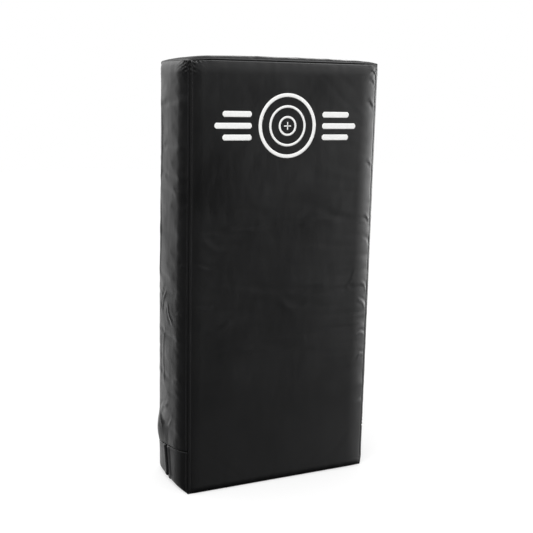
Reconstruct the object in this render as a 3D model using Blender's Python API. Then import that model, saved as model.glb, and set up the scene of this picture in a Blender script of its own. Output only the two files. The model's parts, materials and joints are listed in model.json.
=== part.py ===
"""A straight foam kick shield, standing on its lower end with its strike face towards -Y.

The cover is sewn from flat panels of vinyl whose seam allowances turn inwards, over a core of three foam
layers. A zip runs along the bottom and a short way up both sides. Three padded handles are sewn to the back.

The pad's own pieces are drawn straight, inside the box that the seams make, and cut along common lines.
swell() then moves every point outwards, so that all of them bulge together, as foam makes a sewn cover do.
"""

import math

import bmesh
import bpy
from mathutils import Matrix, Vector

# The box that the seams make, in metres
PAD_WIDTH = 0.350
PAD_DEPTH = 0.134
PAD_HEIGHT = 0.740

# How far each face bulges: a roll beside its seams, and a low dome over all of it
SOFT_EDGE = 0.026
SOFT_EDGE_AT_FLOOR = 0.015
FRONT_ROLL = 0.006
FRONT_DOME = 0.003
BACK_ROLL = 0.006
BACK_DOME = 0.002
SIDE_ROLL = 0.0055
SIDE_DOME = 0.003
TOP_ROLL = 0.0065
TOP_DOME = 0.0035
DOME_FLATNESS = 6
CORNER_EAR = 0.001
CORNER_EAR_REACH = 0.040

# Cover
VINYL = 0.0010
SEAM_ALLOWANCE = 0.006
SEAM_GAP = 0.0003
CROSS_SEAM_AT_FRONT = 0.078
CROSS_SEAM_AT_BACK = 0.056

# Foam
FOAM_GAP = 0.0007
STRIKE_FOAM = 0.036
BACKING_FOAM = 0.034

# Zip
ZIP_FROM_BACK_SEAM = 0.057
ZIP_OPENING = 0.0084
ZIP_HEM = 0.012
HEM_ROUNDING = 0.0008
ZIP_TURN = 0.010
TAPE_WIDTH = 0.014
TAPE_THICKNESS = 0.0006
TAPE_GAP = 0.0005
TEETH_WIDTH = 0.0018
TEETH_HEIGHT = 0.0015
CHAIN_SPLIT = 0.0012
TOUCHING_GAP = 0.0001
STOP_LENGTH = 0.003
SLIDER_LENGTH = 0.010
SLIDER_PLATE = 0.0011
SLIDER_LIP = 0.0008
SLIDER_CLEARANCE = 0.0003
BAIL_WIDTH = 0.0020
BAIL_BAR = 0.0008
BAIL_HOLE_LENGTH = 0.0050
BAIL_HOLE_HEIGHT = 0.0024
PULL_LENGTH = 0.018
PULL_WIDTH = 0.0060
PULL_THICKNESS = 0.0012
PULL_HOLE_LENGTH = 0.0055
PULL_HOLE_SIDE_GAP = 0.0006

# Handles
HANDLE_SPREAD = 0.160
LOWER_HANDLES_UP = 0.360
UPPER_HANDLE_UP = 0.600
HINGE_ABOVE_BACK = 0.0075
GRIP_RADIUS = 0.014
GRIP_STRAIGHT = 0.070
GRIP_ABOVE_HINGE = 0.040
RISE_ANGLE = math.radians(55)
LOWER_BEND = 0.012
UPPER_BEND = 0.022
NECK_HALF_ACROSS = 0.0060
NECK_HALF_OUT = 0.0050
NECK_GAP = 0.0005
CORE_HALF_ACROSS = 0.0044
CORE_HALF_OUT = 0.0034
END_TAPER = 0.018
END_LENGTH = 0.032
END_HALF_ACROSS = 0.021
END_HALF_THICKNESS = 0.0020
PATCH_MARGIN = 0.005
PATCH_THICKNESS = 0.0010
PATCH_CORNER_CUT = 0.0025
STITCH_INSET = 0.004
THREAD_WIDTH = 0.0012
THREAD_HEIGHT = 0.0005

# Facets and shading
SHARP_ANGLE = math.radians(35)
EDGE_CUT_SHARES = (0.14, 0.34, 0.60, 1.0)
CUTS_BETWEEN_EDGES = (3, 1, 5)
ZIP_TURN_FACETS = 4
GRIP_SIDES = 10
CORE_SIDES = 8
LOWER_BEND_SHARES = (0.0, 0.5, 1.0)
UPPER_BEND_SHARES = (1.0, 0.6, 0.3, 0.0)
END_TAPER_FACETS = 3
CORNER_PULL = 0.5

# What follows from the sizes above
HALF_WIDTH = PAD_WIDTH / 2
HALF_DEPTH = PAD_DEPTH / 2
HALF_HEIGHT = PAD_HEIGHT / 2
MITRE_GAP = SEAM_GAP / math.sqrt(2)
SLANTED_VINYL = VINYL * math.sqrt(2)
FOAM_INSET = VINYL + FOAM_GAP
ZIP_Y = HALF_DEPTH - ZIP_FROM_BACK_SEAM
TAPE_INSET = 2 * VINYL + TAPE_GAP
TEETH_INSET = TAPE_INSET - TOUCHING_GAP - TEETH_HEIGHT
ZIP_RELIEF = TAPE_INSET + TAPE_THICKNESS + SLIDER_CLEARANCE + SLIDER_PLATE + FOAM_GAP
ZIP_RELIEF_TOP = CROSS_SEAM_AT_FRONT + SEAM_ALLOWANCE

MATERIALS = {
    "vinyl": ((0.012, 0.012, 0.013), 0.38, 0.0),
    "vinyl_trim": ((0.014, 0.014, 0.015), 0.45, 0.0),
    "strike_foam": ((0.055, 0.058, 0.065), 0.9, 0.0),
    "core_foam": ((0.72, 0.66, 0.42), 0.95, 0.0),
    "webbing": ((0.018, 0.018, 0.019), 0.85, 0.0),
    "zip_plastic": ((0.02, 0.02, 0.022), 0.4, 0.0),
    "zip_metal": ((0.10, 0.10, 0.105), 0.35, 1.0),
    "thread": ((0.03, 0.03, 0.032), 0.8, 0.0),
}


def clear_scene():
    for found in list(bpy.data.objects):
        bpy.data.objects.remove(found)


def material(name):
    found = bpy.data.materials.get(name)
    if found:
        return found
    colour, roughness, metallic = MATERIALS[name]
    made = bpy.data.materials.new(name)
    made.use_nodes = True
    shader = made.node_tree.nodes["Principled BSDF"]
    shader.inputs["Base Color"].default_value = (*colour, 1.0)
    shader.inputs["Roughness"].default_value = roughness
    shader.inputs["Metallic"].default_value = metallic
    return made


# The bulge of the filled cover

def rise(distance, reach):
    """0 at a seam and 1 from reach inwards, along a parabola that ends level."""
    share = min(max(distance / reach, 0.0), 1.0)
    return 1 - (1 - share) ** 2


def ear(distance):
    """1 at a top corner, falling to 0 at the ear's reach."""
    return max(0.0, 1 - distance / CORNER_EAR_REACH) ** 2


def swell(point):
    """Where a point of the straight pad lies once the foam fills the cover. The floor end stays flat.

    In depth the push grows with the cube of the distance, so the layers beside the zip hardly shift.
    """
    x, y, z = point
    across = min(max(x / HALF_WIDTH, -1), 1)
    through = min(max(y / HALF_DEPTH, -1), 1)
    up = min(max((z - HALF_HEIGHT) / HALF_HEIGHT, -1), 1)
    rise_x = rise(HALF_WIDTH - abs(x), SOFT_EDGE)
    rise_y = rise(HALF_DEPTH - abs(y), SOFT_EDGE)
    rise_z = min(rise(z, SOFT_EDGE_AT_FLOOR), rise(PAD_HEIGHT - z, SOFT_EDGE))
    dome_z = 1 - up**DOME_FLATNESS
    face_roll, face_dome = (FRONT_ROLL, FRONT_DOME) if y < 0 else (BACK_ROLL, BACK_DOME)
    side = (SIDE_ROLL * rise_y + SIDE_DOME * (1 - through**2)) * rise_z
    face = face_roll * rise_x * rise_z + face_dome * (1 - across**2) * dome_z
    top = TOP_ROLL * rise_x * rise_y + TOP_DOME * (1 - across**2) * (1 - through**2)
    side += CORNER_EAR * ear(PAD_HEIGHT - z)
    top += CORNER_EAR * ear(HALF_WIDTH - abs(x))
    return Vector((x + across * side, y + through**3 * face, z + max(up, 0.0) * top))


def cut_places(low, high, low_reach, inner):
    """Where the pad's pieces are cut across: close together beside the seams, and evenly between."""
    places = [low + share * low_reach for share in EDGE_CUT_SHARES]
    places += [high - share * SOFT_EDGE for share in EDGE_CUT_SHARES]
    start, end = low + low_reach, high - SOFT_EDGE
    places += [start + (end - start) * (i + 1) / (inner + 1) for i in range(inner)]
    return sorted(places)


CUTS = {
    0: cut_places(-HALF_WIDTH, HALF_WIDTH, SOFT_EDGE, CUTS_BETWEEN_EDGES[0]),
    1: cut_places(-HALF_DEPTH, HALF_DEPTH, SOFT_EDGE, CUTS_BETWEEN_EDGES[1]),
    2: cut_places(0.0, PAD_HEIGHT, SOFT_EDGE_AT_FLOOR, CUTS_BETWEEN_EDGES[2]),
}


# Meshes

def loft(rings, closed=False):
    """A solid through rings of equally many points. Its ends are filled, or its last ring is joined to its first."""
    mesh = bmesh.new()
    count = len(rings[0])
    rows = [[mesh.verts.new(p) for p in ring] for ring in rings]
    pairs = list(zip(rows, rows[1:]))
    if closed:
        pairs.append((rows[-1], rows[0]))
    for one, other in pairs:
        for i in range(count):
            j = (i + 1) % count
            mesh.faces.new((one[i], one[j], other[j], other[i]))
    if not closed:
        mesh.faces.new(rows[0])
        mesh.faces.new(rows[-1])
    bmesh.ops.recalc_face_normals(mesh, faces=mesh.faces)
    return mesh


def cut_along_common_lines(mesh):
    """Cuts the pad's straight pieces along the same planes, so that they still fit each other once they bulge."""
    for axis, places in CUTS.items():
        normal = Vector([float(i == axis) for i in range(3)])
        for place in places:
            geometry = mesh.verts[:] + mesh.edges[:] + mesh.faces[:]
            bmesh.ops.bisect_plane(mesh, geom=geometry, dist=1e-7, plane_co=normal * place, plane_no=normal)


def swollen(mesh):
    """The straight mesh, cut, split into triangles and bulged."""
    cut_along_common_lines(mesh)
    bmesh.ops.triangulate(mesh, faces=mesh.faces, ngon_method="EAR_CLIP")
    for vertex in mesh.verts:
        vertex.co = swell(vertex.co)
    return mesh


def box(low, high):
    """A plain block between two corners."""
    mesh = bmesh.new()
    size = Vector(high) - Vector(low)
    middle = (Vector(high) + Vector(low)) / 2
    bmesh.ops.create_cube(mesh, size=1.0, matrix=Matrix.Translation(middle) @ Matrix.Diagonal((*size, 1.0)))
    return mesh


def as_object(name, source, material_name, parent=None, location=(0, 0, 0)):
    """An object of this name from a bmesh, shaded smooth but for its sharp edges."""
    data = bpy.data.meshes.new(name)
    source.to_mesh(data)
    source.free()
    data.shade_smooth()
    data.set_sharp_from_angle(angle=SHARP_ANGLE)
    data.materials.append(material(material_name))
    made = bpy.data.objects.new(name, data)
    bpy.context.scene.collection.objects.link(made)
    made.location = location
    made.parent = parent
    return made


def join_into(target, source, operation):
    """Unites a helper block with an object, or cuts it out, and removes the helper."""
    helper = as_object(target.name + "_helper", source, "zip_metal")
    modifier = target.modifiers.new("shape", "BOOLEAN")
    modifier.operation = operation
    modifier.object = helper
    bpy.context.view_layer.update()
    graph = bpy.context.evaluated_depsgraph_get()
    result = bpy.data.meshes.new_from_object(target.evaluated_get(graph))
    target.modifiers.remove(modifier)
    target.data = result
    bpy.data.objects.remove(helper)


# Cover panels, drawn straight

def face_ring(shrink, y):
    """The pad's outline at one depth, drawn in on all four sides."""
    x, low, high = HALF_WIDTH - shrink, shrink, PAD_HEIGHT - shrink
    return [Vector(p) for p in ((-x, y, low), (x, y, low), (x, y, high), (-x, y, high))]


def make_face_panel(name, facing):
    """The front or back panel, with its allowance turned in along the diagonal of the pad's edge."""
    profile = (
        (MITRE_GAP, 0.0),
        (MITRE_GAP + SEAM_ALLOWANCE, SEAM_ALLOWANCE),
        (MITRE_GAP + SEAM_ALLOWANCE + SLANTED_VINYL, SEAM_ALLOWANCE),
        (MITRE_GAP + VINYL + SLANTED_VINYL, VINYL),
    )
    rings = [face_ring(shrink, facing * (HALF_DEPTH - inset)) for shrink, inset in profile]
    return as_object(name, swollen(loft(rings)), "vinyl")


def sewn_edge(facing):
    """The seam side of a boxing panel as (y, inset) points, from the outer face to the inner one."""
    steps = (
        (MITRE_GAP, 0.0),
        (MITRE_GAP + SEAM_ALLOWANCE, SEAM_ALLOWANCE),
        (MITRE_GAP + SEAM_ALLOWANCE + SLANTED_VINYL, SEAM_ALLOWANCE),
        (MITRE_GAP + VINYL + SLANTED_VINYL, VINYL),
    )
    return [(facing * (HALF_DEPTH - inwards), inset) for inwards, inset in steps]


def hemmed_edge(facing):
    """The zip side of a boxing strip: the vinyl is folded under itself, with a rounded fold."""
    fold = ZIP_Y + facing * ZIP_OPENING / 2
    under = fold + facing * ZIP_HEM
    return [
        (under, VINYL),
        (under, 2 * VINYL),
        (fold + facing * HEM_ROUNDING, 2 * VINYL),
        (fold, 2 * VINYL - HEM_ROUNDING),
        (fold, HEM_ROUNDING),
        (fold + facing * HEM_ROUNDING, 0.0),
    ]


def cross_seam(y):
    """How high the cross seam lies on the sides. It climbs towards the front."""
    share = (y + HALF_DEPTH) / PAD_DEPTH
    return CROSS_SEAM_AT_FRONT + (CROSS_SEAM_AT_BACK - CROSS_SEAM_AT_FRONT) * share


def make_side_panel(name, side):
    """A side panel, from the cross seam up to the corner seam at the top."""
    profile = sewn_edge(-1) + sewn_edge(1)[::-1]
    lower = [Vector((side * (HALF_WIDTH - inset), y, cross_seam(y) + SEAM_GAP / 2)) for y, inset in profile]
    upper = [Vector((side * (HALF_WIDTH - inset), y, PAD_HEIGHT - inset - MITRE_GAP)) for y, inset in profile]
    return as_object(name, swollen(loft([lower, upper])), "vinyl")


def make_top_panel():
    profile = sewn_edge(-1) + sewn_edge(1)[::-1]
    ends = [
        [Vector((side * (HALF_WIDTH - inset - MITRE_GAP), y, PAD_HEIGHT - inset)) for y, inset in profile]
        for side in (-1, 1)
    ]
    return as_object("top_panel", swollen(loft(ends)), "vinyl")


def make_zip_strip(name, facing):
    """One half of the boxing that holds the zip: up one side, along the bottom and up the other side."""
    profile = sewn_edge(facing) + hemmed_edge(facing)
    rings = []
    for side in (-1, 1):
        top = [Vector((side * (HALF_WIDTH - inset), y, cross_seam(y) - SEAM_GAP / 2)) for y, inset in profile]
        corner = [Vector((side * (HALF_WIDTH - inset), y, inset)) for y, inset in profile]
        rings += [top, corner] if side < 0 else [corner, top]
    return as_object(name, swollen(loft(rings)), "vinyl")


# Foam layers, drawn straight

def foam_outline(y, shrink, relieved):
    """A foam layer's outline at one depth, drawn in by shrink. The relieved one leaves room for the zip."""
    side, top = HALF_WIDTH - FOAM_INSET - shrink, PAD_HEIGHT - FOAM_INSET - shrink
    half = [(side, FOAM_INSET + shrink), (side, top)]
    if relieved:
        narrow = HALF_WIDTH - ZIP_RELIEF - shrink
        half = [
            (HALF_WIDTH - ZIP_TURN - shrink, ZIP_RELIEF + shrink),
            (narrow, ZIP_TURN + shrink),
            (narrow, ZIP_RELIEF_TOP),
            (side, ZIP_RELIEF_TOP + ZIP_RELIEF),
            (side, top),
        ]
    mirrored = [(-x, z) for x, z in reversed(half)]
    return [Vector((x, y, z)) for x, z in half + mirrored]


def make_foam_layer(name, start, end, material_name, bevel_side, relieved=False):
    """A slab of foam between two depths. Its outer edges are bevelled, to leave room for the seam allowances."""
    bevel = 2 * SEAM_ALLOWANCE + SLANTED_VINYL + 2 * SEAM_GAP + FOAM_GAP - 2 * FOAM_INSET
    rings = [foam_outline(start, 0.0, relieved), foam_outline(end, 0.0, relieved)]
    if bevel_side < 0:
        rings = [foam_outline(start, bevel, relieved), foam_outline(start + bevel, 0.0, relieved), rings[1]]
    if bevel_side > 0:
        rings = [rings[0], foam_outline(end - bevel, 0.0, relieved), foam_outline(end, bevel, relieved)]
    return as_object(name, swollen(loft(rings)), material_name)


# Zip

def turned_ring(profile, side, angle):
    """A (y, inset) profile on the way round a lower corner, at an angle from the pad's side towards its bottom."""
    along, down = math.cos(angle), math.sin(angle)
    return [
        Vector((
            side * (HALF_WIDTH - ZIP_TURN + (ZIP_TURN - inset) * along),
            y,
            ZIP_TURN - (ZIP_TURN - inset) * down,
        ))
        for y, inset in profile
    ]


def band_round_the_floor_end(profile, top):
    """A narrow band with this (y, inset) profile, up one side, along the bottom and up the other side."""
    halves = []
    for side in (-1, 1):
        upper = [Vector((side * (HALF_WIDTH - inset), y, top)) for y, inset in profile]
        angles = [math.pi / 2 * i / ZIP_TURN_FACETS for i in range(ZIP_TURN_FACETS + 1)]
        halves.append([upper] + [turned_ring(profile, side, angle) for angle in angles])
    left, right = halves
    return loft(left + right[::-1])


def strip_profile(start, width, facing, inset, height):
    """A rectangle as (y, inset) points, from the zip's middle line outwards."""
    near, far = ZIP_Y + facing * start, ZIP_Y + facing * (start + width)
    return [(near, inset), (far, inset), (far, inset + height), (near, inset + height)]


CHAIN_TOP = cross_seam(ZIP_Y) - 2 * SEAM_GAP
TEETH_TOP = CHAIN_TOP - STOP_LENGTH - SEAM_GAP


def make_zip_half(name, facing):
    """A zip tape and the row of teeth along its edge."""
    tape = strip_profile(CHAIN_SPLIT / 2, TAPE_WIDTH, facing, TAPE_INSET, TAPE_THICKNESS)
    teeth = strip_profile(CHAIN_SPLIT / 2, TEETH_WIDTH, facing, TEETH_INSET, TEETH_HEIGHT)
    as_object(f"zip_tape_{name}", swollen(band_round_the_floor_end(tape, CHAIN_TOP)), "webbing")
    as_object(f"zip_teeth_{name}", swollen(band_round_the_floor_end(teeth, TEETH_TOP)), "zip_plastic")


def make_zip_stop(name, side):
    """The small clamp that ends the chain, across both rows of teeth."""
    half = CHAIN_SPLIT / 2 + TEETH_WIDTH
    near, far = side * (HALF_WIDTH - TEETH_INSET), side * (HALF_WIDTH - TAPE_INSET + TOUCHING_GAP)
    low, high = TEETH_TOP + SEAM_GAP, TEETH_TOP + SEAM_GAP + STOP_LENGTH
    block = box((min(near, far), ZIP_Y - half, low), (max(near, far), ZIP_Y + half, high))
    return as_object(name, swollen(block), "zip_metal")


SLIDER_Z = TEETH_TOP - SLIDER_LENGTH / 2 - SEAM_GAP
TAPE_MIDDLE_INSET = TAPE_INSET + TAPE_THICKNESS / 2
SLIDER_BASE = swell((HALF_WIDTH - TAPE_MIDDLE_INSET, ZIP_Y, SLIDER_Z)) + Vector((TAPE_MIDDLE_INSET, 0.0, 0.0))
PLATE_UNDERSIDE = SLIDER_CLEARANCE - TEETH_INSET
PLATE_TOP = PLATE_UNDERSIDE + SLIDER_PLATE
PULL_HINGE_OUT = PLATE_TOP + BAIL_HOLE_HEIGHT / 2


def make_zip_slider():
    """The slider: two plates joined by a wedge that passes between the rows of teeth, and a bail for the pull."""
    inner = CHAIN_SPLIT / 2 + TEETH_WIDTH + SLIDER_CLEARANCE
    outer = inner + SLIDER_LIP
    wedge = CHAIN_SPLIT / 2 - SLIDER_CLEARANCE
    lip = SLIDER_CLEARANCE - TAPE_INSET
    lower_top = -(TAPE_INSET + TAPE_THICKNESS + SLIDER_CLEARANCE)
    lower_bottom = lower_top - SLIDER_PLATE
    half_section = [
        (outer, PLATE_TOP), (outer, lip), (inner, lip), (inner, PLATE_UNDERSIDE),
        (wedge, PLATE_UNDERSIDE), (wedge, lower_top), (outer, lower_top), (outer, lower_bottom),
    ]
    section = half_section + [(-across, out) for across, out in reversed(half_section)]
    rings = [[Vector((out, across, end * SLIDER_LENGTH / 2)) for across, out in section] for end in (-1, 1)]
    slider = as_object("zip_slider", loft(rings), "zip_metal", location=SLIDER_BASE)
    bail_top = PLATE_TOP + BAIL_HOLE_HEIGHT
    half_hole = BAIL_HOLE_LENGTH / 2
    root = PLATE_TOP - SLIDER_PLATE / 2
    arch = [
        (root, -half_hole - BAIL_BAR), (root, -half_hole), (bail_top, -half_hole), (bail_top, half_hole),
        (root, half_hole), (root, half_hole + BAIL_BAR), (bail_top + BAIL_BAR, half_hole + BAIL_BAR),
        (bail_top + BAIL_BAR, -half_hole - BAIL_BAR),
    ]
    sides = [[SLIDER_BASE + Vector((out, across, up)) for out, up in arch]
             for across in (-BAIL_WIDTH / 2, BAIL_WIDTH / 2)]
    join_into(slider, loft(sides), "UNION")
    return slider


def make_zip_pull():
    """The pull tab, hanging from the bail by its top bar. Its origin is on the hinge."""
    place = SLIDER_BASE + Vector((PULL_HINGE_OUT, 0.0, 0.0))
    half = PULL_THICKNESS / 2
    tab = box((-half, -PULL_WIDTH / 2, half - PULL_LENGTH), (half, PULL_WIDTH / 2, half))
    pull = as_object("zip_pull", tab, "zip_metal", location=place)
    hole_half = BAIL_WIDTH / 2 + PULL_HOLE_SIDE_GAP
    low = place + Vector((-PULL_THICKNESS, -hole_half, -half - PULL_HOLE_LENGTH))
    high = place + Vector((PULL_THICKNESS, hole_half, -half))
    join_into(pull, box(low, high), "DIFFERENCE")
    return pull


# Handles. Their frame has X along the hinge axis, Y away from the pad and its origin on the axis.

RUN_OF_RISE = (LOWER_BEND + UPPER_BEND) * math.sin(RISE_ANGLE)
RISE_OF_BENDS = (LOWER_BEND + UPPER_BEND) * (1 - math.cos(RISE_ANGLE))
RISE_LENGTH = (GRIP_ABOVE_HINGE - RISE_OF_BENDS) / math.sin(RISE_ANGLE)
HALF_SPAN = GRIP_STRAIGHT / 2 + RUN_OF_RISE + RISE_LENGTH * math.cos(RISE_ANGLE)
PATCH_TOP = SEAM_GAP + PATCH_THICKNESS - HINGE_ABOVE_BACK
END_MIDDLE_OUT = PATCH_TOP + SEAM_GAP + END_HALF_THICKNESS
END_START = HALF_SPAN + NECK_GAP
END_FLAT = END_START + END_TAPER


def arch_stations():
    """(x, y, slope angle) along the arch, from its left neck to its right one."""
    left = []
    for share in LOWER_BEND_SHARES:
        angle = RISE_ANGLE * share
        left.append((-HALF_SPAN + LOWER_BEND * math.sin(angle), LOWER_BEND * (1 - math.cos(angle)), angle))
    for share in UPPER_BEND_SHARES:
        angle = RISE_ANGLE * share
        x = -GRIP_STRAIGHT / 2 - UPPER_BEND * math.sin(angle)
        left.append((x, GRIP_ABOVE_HINGE - UPPER_BEND * (1 - math.cos(angle)), angle))
    return left + [(-x, y, -angle) for x, y, angle in reversed(left)]


def oval_ring(x, y, angle, half_across, half_out, sides, squareness=0.0):
    """A ring of points square to the arch. Squareness pulls it from an oval towards a rectangle."""
    power = 1.0 - CORNER_PULL * squareness
    points = []
    for i in range(sides):
        turn = 2 * math.pi * (i + 0.5) / sides
        across = half_across * math.copysign(abs(math.cos(turn)) ** power, math.cos(turn))
        out = half_out * math.copysign(abs(math.sin(turn)) ** power, math.sin(turn))
        points.append(Vector((x - out * math.sin(angle), y + out * math.cos(angle), across)))
    return points


def ease(share):
    """Runs from 0 to 1 with a level start and a level end."""
    return share * share * (3 - 2 * share)


def sleeve_rings(shrink, stations):
    """Rings of the sleeve, drawn in by shrink. It widens from its neck to the grip as the arch rises."""
    rings = []
    for x, y, angle in stations:
        widened = ease(y / GRIP_ABOVE_HINGE)
        across = NECK_HALF_ACROSS + (GRIP_RADIUS - NECK_HALF_ACROSS) * widened
        out = NECK_HALF_OUT + (GRIP_RADIUS - NECK_HALF_OUT) * widened
        rings.append(oval_ring(x, y, angle, across - shrink, out - shrink, GRIP_SIDES))
    return rings


def grip_sleeve_mesh():
    """The vinyl tube round the grip, open at both necks."""
    stations = arch_stations()
    return loft(sleeve_rings(0.0, stations) + sleeve_rings(VINYL, stations)[::-1], closed=True)


def grip_foam_mesh():
    """The foam roll in the sleeve, with a channel for the webbing. It reaches round both upper bends."""
    stations = [(x, y, angle) for x, y, angle in arch_stations() if y > GRIP_ABOVE_HINGE - UPPER_BEND]
    channel = [
        oval_ring(x, y, angle, CORE_HALF_ACROSS + SEAM_GAP, CORE_HALF_OUT + SEAM_GAP, GRIP_SIDES)
        for x, y, angle in stations
    ]
    return loft(sleeve_rings(VINYL + SEAM_GAP, stations) + channel[::-1], closed=True)


def webbing_core_mesh():
    """The webbing, gathered into a thick cord through the grip."""
    return loft([
        oval_ring(x, y, angle, CORE_HALF_ACROSS, CORE_HALF_OUT, CORE_SIDES)
        for x, y, angle in arch_stations()
    ])


def sewn_end_mesh(side):
    """The handle's end: round at the neck, and pressed flat where it is sewn down."""
    rings = []
    for i in range(END_TAPER_FACETS + 1):
        share = i / END_TAPER_FACETS
        pressed = ease(share)
        across = NECK_HALF_ACROSS + (END_HALF_ACROSS - NECK_HALF_ACROSS) * pressed
        out = NECK_HALF_OUT + (END_HALF_THICKNESS - NECK_HALF_OUT) * pressed
        x = side * (END_START + END_TAPER * share)
        rings.append(oval_ring(x, END_MIDDLE_OUT * pressed, 0.0, across, out, GRIP_SIDES, pressed))
    x = side * (END_FLAT + END_LENGTH)
    rings.append(oval_ring(x, END_MIDDLE_OUT, 0.0, END_HALF_ACROSS, END_HALF_THICKNESS, GRIP_SIDES, 1.0))
    return loft(rings)


def patch_mesh(side):
    """The vinyl patch under a sewn end, with cut corners."""
    near, far = END_FLAT - PATCH_MARGIN, END_FLAT + END_LENGTH + PATCH_MARGIN
    half = END_HALF_ACROSS + PATCH_MARGIN
    cut = PATCH_CORNER_CUT
    outline = [
        (near + cut, -half), (far - cut, -half), (far, cut - half), (far, half - cut),
        (far - cut, half), (near + cut, half), (near, half - cut), (near, cut - half),
    ]
    levels = (PATCH_TOP - PATCH_THICKNESS, PATCH_TOP)
    return loft([[Vector((side * x, level, z)) for x, z in outline] for level in levels])


def inset_triangle(corners, distance):
    """A triangle's corners once its sides have moved inwards by this distance."""
    a, b, c = corners
    sides = ((b - c).length, (c - a).length, (a - b).length)
    perimeter = sum(sides)
    middle = (a * sides[0] + b * sides[1] + c * sides[2]) / perimeter
    radius = abs((b - a).cross(c - a)) / perimeter
    return [middle + (corner - middle) * (1 - distance / radius) for corner in corners]


def stitching_mesh(side):
    """The thread of a boxed cross: a square of stitches with both diagonals, as a plate with four windows."""
    middle = side * (END_FLAT + END_LENGTH / 2)
    half_x, half_z = END_LENGTH / 2 - STITCH_INSET, END_HALF_ACROSS - STITCH_INSET
    half_thread = THREAD_WIDTH / 2
    signs = ((-1, -1), (1, -1), (1, 1), (-1, 1))
    outline = [Vector((i * (half_x + half_thread), k * (half_z + half_thread))) for i, k in signs]
    lines = [Vector((i * half_x, k * half_z)) for i, k in signs]
    windows = [inset_triangle((lines[k], lines[k - 3], Vector((0.0, 0.0))), half_thread) for k in range(4)]
    bottom = END_MIDDLE_OUT + END_HALF_THICKNESS + TOUCHING_GAP
    mesh = bmesh.new()
    layers = []
    for level in (bottom, bottom + THREAD_HEIGHT):
        loops = [[mesh.verts.new((middle + p.x, level, p.y)) for p in loop] for loop in [outline] + windows]
        layers.append(loops)
        corners, holes = loops[0], loops[1:]
        mesh.faces.new([hole[2] for hole in holes])
        for k in range(4):
            near, far, tip = holes[k]
            mesh.faces.new((corners[k], corners[k - 3], far, near))
            mesh.faces.new((corners[k], near, tip, holes[k - 1][2], holes[k - 1][1]))
    for low, high in zip(*layers):
        for i in range(len(low)):
            j = (i + 1) % len(low)
            mesh.faces.new((low[i], low[j], high[j], high[i]))
    bmesh.ops.recalc_face_normals(mesh, faces=mesh.faces)
    return mesh


def make_handle(name, x, z, upright, end_names):
    """One handle. Its frame stands on the hinge axis, and its pieces follow the bulge of the back panel."""
    turn = Matrix.Rotation(-math.pi / 2 if upright else 0.0, 4, "Y")
    hinge = Vector((x, HALF_DEPTH + HINGE_ABOVE_BACK, z))
    straight = Matrix.Translation(hinge) @ turn
    placed = Matrix.Translation(swell(hinge)) @ turn
    frame = bpy.data.objects.new(f"{name}_frame", None)
    bpy.context.scene.collection.objects.link(frame)
    frame.matrix_world = placed
    pieces = [
        ("grip_sleeve", grip_sleeve_mesh(), "vinyl_trim"),
        ("grip_foam", grip_foam_mesh(), "strike_foam"),
        ("webbing_core", webbing_core_mesh(), "webbing"),
    ]
    for side, end in zip((-1, 1), end_names):
        pieces += [
            (f"{end}_end", sewn_end_mesh(side), "vinyl_trim"),
            (f"{end}_patch", patch_mesh(side), "vinyl_trim"),
            (f"{end}_stitching", stitching_mesh(side), "thread"),
        ]
    for piece, mesh, material_name in pieces:
        for vertex in mesh.verts:
            vertex.co = placed.inverted() @ swell(straight @ vertex.co)
        as_object(f"{name}_{piece}", mesh, material_name, parent=frame)


def build():
    clear_scene()
    make_face_panel("front_panel", -1)
    make_face_panel("back_panel", 1)
    make_side_panel("left_side_panel", -1)
    make_side_panel("right_side_panel", 1)
    make_top_panel()
    make_zip_strip("zip_boxing_front", -1)
    make_zip_strip("zip_boxing_back", 1)

    foam_front, foam_back = FOAM_INSET - HALF_DEPTH, HALF_DEPTH - FOAM_INSET
    core_start, core_end = foam_front + STRIKE_FOAM, foam_back - BACKING_FOAM
    make_foam_layer("strike_foam", foam_front, core_start, "strike_foam", -1)
    make_foam_layer("core_foam", core_start + SEAM_GAP, core_end - SEAM_GAP, "core_foam", 0, relieved=True)
    make_foam_layer("backing_foam", core_end, foam_back, "strike_foam", 1)

    make_zip_half("front", -1)
    make_zip_half("back", 1)
    make_zip_stop("zip_start_stop", -1)
    make_zip_stop("zip_end_stop", 1)
    make_zip_slider()
    make_zip_pull()

    make_handle("upper_handle", 0.0, UPPER_HANDLE_UP, False, ("left", "right"))
    make_handle("left_handle", -HANDLE_SPREAD / 2, LOWER_HANDLES_UP, True, ("lower", "upper"))
    make_handle("right_handle", HANDLE_SPREAD / 2, LOWER_HANDLES_UP, True, ("lower", "upper"))


build()
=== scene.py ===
"""The looks of a straight foam kick shield: its sewn cover, zip, padded handles, floor, light and camera.

Each panel of the cover is a fine grid. Its points start in the flat panel, bulge as the frame's solids do,
take the folds of a short cloth simulation, and then get their seams, gathers and creases.
"""

import itertools
import json
import math

import bmesh
import bpy
import numpy as np
from mathutils import Matrix, Vector


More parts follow.
